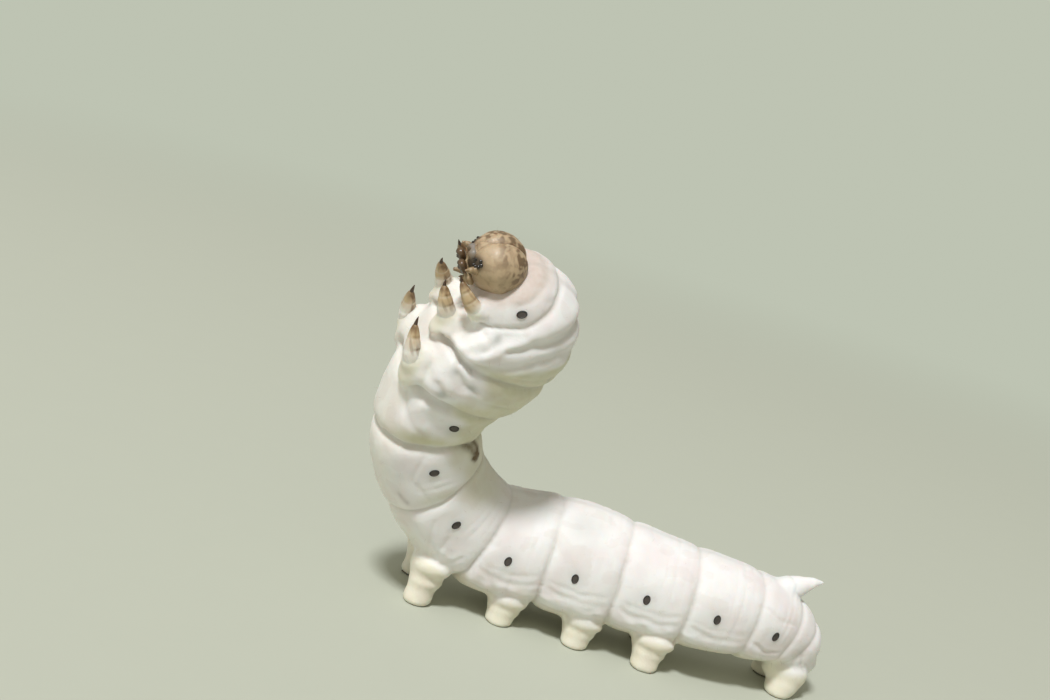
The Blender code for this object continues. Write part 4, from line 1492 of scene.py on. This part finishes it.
def make_leg(shape, side):
    """A leg of soft root, three plated parts and folds between them, laid along its path."""
    obj = stack([(share * shape.length, radius * shape.size) for share, radius in LEG_SECTIONS], 24)
    subdivide(obj, 2)
    straight = coordinates(obj.data)
    share, turn = straight[:, 2] / shape.length, np.arctan2(straight[:, 1], straight[:, 0])
    wrinkle = waves(straight, 0.35, 21) * 0.025 * smooth_step(-share, -0.5, -0.1)
    radial = np.hypot(straight[:, 0], straight[:, 1])
    straight[:, :2] *= (1 + wrinkle / np.maximum(radial, 0.1))[:, None]
    set_coordinates(obj.data, straight)
    ragged = waves(straight, 0.5, 22)
    front = smooth_step(np.cos(turn) + ragged * 0.5, -0.1, 0.6)
    edges = sum(hump(share + ragged * 0.01, joint + 0.045, 0.022) for joint in LEG_JOINTS[1:])
    folds = sum(hump(share, joint, 0.022) for joint in LEG_JOINTS)
    plates = smooth_step(np.cos(turn - side * 1.2) + ragged * 0.5, 0.45, 0.9) * smooth_step(share, 0.32, 0.5)
    plates *= 1 - np.clip(folds, 0, 1)
    tip = smooth_step(share, 0.8, 0.97)
    mottle = smooth_step(waves(straight * np.array((1, 1, 0.55)), 0.3, 23), 0.0, 0.3)
    mottle *= smooth_step(share, 0.3, 0.55)
    low, high = LEG_PALE[shape.ring]
    store(obj.data, "dark", np.clip(edges * front * 0.5 + plates * 0.5 + tip * 0.75 + mottle * 0.4, 0, 1))
    store(obj.data, "pale", np.clip(folds * 0.2 + 1 - smooth_step(share + ragged * 0.12, low, high), 0, 1))
    _, _, forward, path = leg_path(shape, side)
    bend_along(obj, path, forward, shape.length)
    return obj


def make_claw(shape, side):
    """The hooked claw at a leg's tip."""
    obj = stack([(share * shape.length, radius * shape.size) for share, radius in CLAW_SECTIONS], 14)
    subdivide(obj, 1)
    points = coordinates(obj.data)
    ahead = points[:, 2] / shape.length - 0.94
    points[:, 0] += np.where(ahead > 0, ahead**2 * 6, 0)
    set_coordinates(obj.data, points)
    _, _, forward, path = leg_path(shape, side)
    bend_along(obj, path, forward, shape.length)
    return obj


class SILKWORM_OT_legs(bpy.types.Operator):
    """Makes the six true legs and their claws"""

    bl_idname = "silkworm.legs"
    bl_label = "True legs"

    def execute(self, context):
        plated = material("silkworm_leg", leg_material)
        claw = claw_material()
        for shape in LEGS:
            for side, word in SIDES:
                name = f"{shape.ring[-1]}_{word}"
                finish_piece(make_leg(shape, side), f"true_leg_{name}", plated, [f"leg_{name}"])
                finish_piece(make_claw(shape, side), f"claw_{name}", claw)
        return {"FINISHED"}


# Spiracles, hooks and hairs.


def spiracle_place(ring):
    """Where a ring's breathing hole stands: place along the body and angle."""
    along, turn = SPIRACLE_SHIFTS.get(ring, (0, 0))
    return NAMES.index(ring) + SPIRACLE_PLACE + along, SPIRACLE_ANGLE + turn


SPIRACLE_SECTIONS = (
    (-0.3, 0.37), (0.0, 0.37), (0.06, 0.35), (0.085, 0.31), (0.08, 0.27), (0.05, 0.24), (0.045, 0.2),
    (0.055, 0.1), (0.05, 0.03)
)


class SILKWORM_OT_spiracles(bpy.types.Operator):
    """Makes the oval breathing holes along both sides"""

    bl_idname = "silkworm.spiracles"
    bl_label = "Spiracles"

    def execute(self, context):
        button = stack(SPIRACLE_SECTIONS, 28)
        x, y, heights = coordinates(button.data).T
        store(button.data, "dark", smooth_step(np.hypot(x, y), 0.24, 0.32) * (heights > -0.2))
        subdivide(button, 1)
        button.data.transform(Matrix.Diagonal((0.72, 1, 1, 1)))
        tree = skin_tree()
        rim = colours().spiracle
        finish = material("silkworm_spiracle", shell_material, SPIRACLE_MIDDLE, rim, 0.55, 0.02)
        for side, word in SIDES:
            made = []
            for ring in SPIRACLE_RINGS:
                s, turn = spiracle_place(ring)
                place, normal = on_skin(tree, s, on_side(turn, side))
                made.append(lay(copy_of(button), place - normal * 0.02, ahead_at(s), normal))
            finish_piece(merge(made), f"spiracles_{word}", finish)
        remove(button)
        return {"FINISHED"}


def curl(obj, whole):
    """Bends a straight form over towards +X, by that turn in radians from its root to its tip."""
    points = coordinates(obj.data)
    tall = points[:, 2].max()
    turn = np.clip(points[:, 2] / tall, 0, 1) * whole
    bow = tall / whole
    x, z = points[:, 0].copy(), points[:, 2]
    points[:, 0] = np.where(z > 0, bow - (bow - x) * np.cos(turn), x)
    points[:, 2] = np.where(z > 0, (bow - x) * np.sin(turn), z)
    set_coordinates(obj.data, points)


HOOK_SECTIONS = ((-0.06, 0.03), (0, 0.03), (0.05, 0.028), (0.1, 0.024), (0.15, 0.018), (0.2, 0.007))
HOOK_HEIGHTS = (0.16, 0.2)  # of every other hook above the sole
HOOK_SPREAD = 110  # of the row of hooks round the inner edge of a sole, in degrees


class SILKWORM_OT_hooks(bpy.types.Operator):
    """Makes the small brown hooks along the inner edge of each sole"""

    bl_idname = "silkworm.hooks"
    bl_label = "Hooks of the prolegs"

    def execute(self, context):
        hook = stack(HOOK_SECTIONS, 6)
        curl(hook, 1.9)
        count = sizes().hooks
        for wanted, word in SIDES:
            made = []
            for _, centres, radii, side in feet():
                if side != wanted:
                    continue
                for k in range(count):
                    a = math.radians(90 * side + HOOK_SPREAD * (k / (count - 1) - 0.5))
                    out = Vector((math.cos(a), math.sin(a), 0))
                    place = centres[-1] + out * (radii[-1] * 0.96) + WAYS[2] * HOOK_HEIGHTS[k % 2]
                    made.append(lay(copy_of(hook), place, -WAYS[2], out))
            finish_piece(merge(made), f"hooks_{word}", claw_material())
        remove(hook)
        return {"FINISHED"}


# A hair's heights and radii, as shares of its length and width.
HAIR_SECTIONS = ((-0.1, 0.5), (0.1, 0.45), (0.3, 0.32), (0.6, 0.2), (1.0, 0.06))

# Hairs of a side: place in the ring and angle, elevation and azimuth on the head, place and turn on a leg.
RING_HAIRS = (
    (0.3, 66), (0.74, 50), (0.42, 27), (0.3, 13), (0.58, -7), (0.66, -15), (0.4, -31), (0.55, -34),
    (0.35, -52), (0.5, -56), (0.62, -80)
)
HEAD_HAIRS = (
    (55, 35), (35, 20), (40, 70), (15, 45), (5, 85), (-5, 20), (-12, 95), (-22, 28), (25, 105), (60, 90)
)
LEG_HAIRS = (
    (0.3, 0.6), (0.34, 2.2), (0.5, 1.2), (0.55, 3.6), (0.72, 0.4), (0.76, 2.4), (0.92, 1.4), (0.93, 3.4)
)


def hair_places():
    """Every hair's root, the way it stands out, the way it leans, and its share of the full length."""
    draw = random.Random(7)
    tree = skin_tree()
    places = []
    for i in range(COUNT):
        for f, angle in RING_HAIRS:
            for side, _ in SIDES:
                s = i + f + draw.uniform(-0.03, 0.03)
                place, normal = on_skin(tree, s, on_side(angle + draw.uniform(-3, 3), side))
                places.append((place, normal, -ahead_at(s), draw.uniform(0.6, 1)))
    for side, _ in SIDES:
        for elevation, azimuth in HEAD_HAIRS:
            place = Vector(head_local(head_shape(elevation, azimuth * side)))
            places.append((place, head_direction(elevation, azimuth * side), head_frame()[3], 0.8))
        for shape in LEGS:
            _, _, forward, path = leg_path(shape, side)
            for share, turn in LEG_HAIRS:
                ahead, u, v = path_ways(path, share, forward)
                out = u * math.cos(turn) + v * math.sin(turn)
                radius = np.interp(share, *zip(*LEG_SECTIONS)) * shape.size
                places.append((path(share) + out * radius * 0.95, out + ahead * 0.6, ahead, 0.55))
    return places


class SILKWORM_OT_hairs(bpy.types.Operator):
    """Makes the sparse fine hairs of the rings, head and legs"""

    bl_idname = "silkworm.hairs"
    bl_label = "Hairs"

    def execute(self, context):
        long, wide = sizes().hair / MM, sizes().hair_width / MM
        hair = stack([(height, wide * share) for height, share in HAIR_SECTIONS], 5)
        curl(hair, 0.5)
        made = []
        for place, normal, toward, share in hair_places():
            twin = copy_of(hair)
            tall = long * share
            twin.data.transform(Matrix.Diagonal((tall, tall, tall, 1)))
            made.append(lay(twin, place, toward, normal))
        finish = material("silkworm_hair", horny_material, HAIR, 0.4)
        finish_piece(merge(made), "hairs", finish)
        remove(hair)
        return {"FINISHED"}


# Floor, light and camera.


def camera_axes():
    azimuth, elevation, roll = (math.radians(v) for v in (VIEW_AZIMUTH, VIEW_ELEVATION, VIEW_ROLL))
    back = Vector((
        math.sin(azimuth) * math.cos(elevation), -math.cos(azimuth) * math.cos(elevation), math.sin(elevation)
    ))
    right = Vector((math.cos(azimuth), math.sin(azimuth), 0))
    up = back.cross(right)
    return (
        right * math.cos(roll) + up * math.sin(roll),
        up * math.cos(roll) - right * math.sin(roll),
        back,
    )


def make_camera():
    right, up, back = camera_axes()
    data = bpy.data.cameras.new("camera")
    data.lens, data.sensor_width, data.sensor_fit = LENS, SENSOR, "HORIZONTAL"
    data.clip_start, data.clip_end = 0.005, 20
    camera = link_object("camera", data)
    place = (VIEW_TARGET + back * VIEW_DISTANCE) * MM
    turn = Matrix((right, up, back)).transposed()
    camera.matrix_world = Matrix.Translation(place) @ turn.to_4x4()
    bpy.context.scene.camera = camera


def make_light(name, way, distance, size, watts, colour):
    """A round soft light that looks at the body from a direction of the photograph's view."""
    right, up, back = camera_axes()
    data = bpy.data.lights.new(name, "AREA")
    data.shape, data.size, data.energy, data.color = "DISK", size, watts, colour
    light = link_object(name, data)
    light.location = LIGHT_TARGET + (right * way[0] + up * way[1] + back * way[2]).normalized() * distance
    light.rotation_euler = (LIGHT_TARGET - light.location).to_track_quat("-Z", "Y").to_euler()


def make_world():
    world = bpy.data.worlds.new("studio")
    world.use_nodes = True
    background = world.node_tree.nodes["Background"]
    background.inputs["Color"].default_value = SURROUNDINGS_COLOUR
    background.inputs["Strength"].default_value = SURROUNDINGS
    bpy.context.scene.world = world


def backdrop_glow(maker):
    return maker.node("ShaderNodeEmission", {}, {"Color": BACKDROP, "Strength": 1.0})


def make_backdrop():
    """A pale dome round the stage, which lights nothing and casts no shadow."""
    deselect()
    bpy.ops.mesh.primitive_uv_sphere_add(segments=48, ring_count=24, radius=DOME_RADIUS, location=(0, 0, 0))
    dome = bpy.context.active_object
    dome.name = "backdrop"
    maker = Maker("backdrop", 0.9)
    maker.surface(backdrop_glow(maker))
    dome.data.materials.append(maker.material)
    dome.visible_diffuse = dome.visible_glossy = dome.visible_transmission = dome.visible_shadow = False


def floor_material():
    """A pale matt ground that fades into the backdrop away from the middle."""
    maker = Maker("floor", 0.85)
    fine = maker.grain(4, 3)
    base = colours().floor
    ground = maker.mix(fine * 0.25, base, tuple(k * 0.94 for k in base))
    maker.done(ground, 0.85, maker.relief(fine, 0.03, 0.3))
    away = maker.node("ShaderNodeVectorMath", {"operation": "LENGTH"}, {0: maker.place()}, "Value")
    near, far = Value(maker, maker.shader.outputs[0]), backdrop_glow(maker)
    sockets = {0: away.between(FADE_START, FADE_END), 1: near, 2: far}
    maker.surface(maker.node("ShaderNodeMixShader", {}, sockets))
    return maker.material


def make_floor():
    deselect()
    bpy.ops.mesh.primitive_circle_add(
        vertices=96, radius=FLOOR_RADIUS, fill_type="NGON", location=(0, 0, 0)
    )
    floor = bpy.context.active_object
    floor.name = "floor"
    floor.data.materials.append(floor_material())


class SILKWORM_OT_stage(bpy.types.Operator):
    """Makes the floor, the soft lights and the camera of the photograph"""

    bl_idname = "silkworm.stage"
    bl_label = "Floor, light and camera"

    def execute(self, context):
        make_floor()
        make_world()
        make_backdrop()
        for name, values in LIGHTS.items():
            make_light(name, *values)
        make_camera()
        context.scene.view_settings.view_transform = "Standard"
        return {"FINISHED"}


STEPS_IN_ORDER = (
    "skin", "horn", "head", "eyes", "mouthparts", "antennae", "legs", "spiracles", "hooks", "hairs", "stage"
)


class SILKWORM_PT_panel(bpy.types.Panel):
    """Lists the pieces, sizes and colours"""

    bl_idname = "SILKWORM_PT_panel"
    bl_label = "Silkworm"
    bl_space_type = "VIEW_3D"
    bl_region_type = "UI"
    bl_category = "Silkworm"

    def draw(self, context):
        for step in STEPS_IN_ORDER:
            self.layout.operator(f"silkworm.{step}")
        for group in (context.scene.silkworm_sizes, context.scene.silkworm_colours):
            for key in group.__annotations__:
                self.layout.prop(group, key)


CLASSES = (
    SilkwormSizes, SilkwormColours, SILKWORM_OT_skin, SILKWORM_OT_horn, SILKWORM_OT_head, SILKWORM_OT_eyes,
    SILKWORM_OT_mouthparts, SILKWORM_OT_antennae, SILKWORM_OT_legs, SILKWORM_OT_spiracles,
    SILKWORM_OT_hooks, SILKWORM_OT_hairs, SILKWORM_OT_stage, SILKWORM_PT_panel,
)


def register():
    for kind in CLASSES:
        bpy.utils.register_class(kind)
    bpy.types.Scene.silkworm_sizes = PointerProperty(type=SilkwormSizes)
    bpy.types.Scene.silkworm_colours = PointerProperty(type=SilkwormColours)


def unregister():
    del bpy.types.Scene.silkworm_sizes, bpy.types.Scene.silkworm_colours
    for kind in reversed(CLASSES):
        bpy.utils.unregister_class(kind)


def main():
    register()
    for step in STEPS_IN_ORDER:
        getattr(bpy.ops.silkworm, step)()


if __name__ == "__main__":
    main()
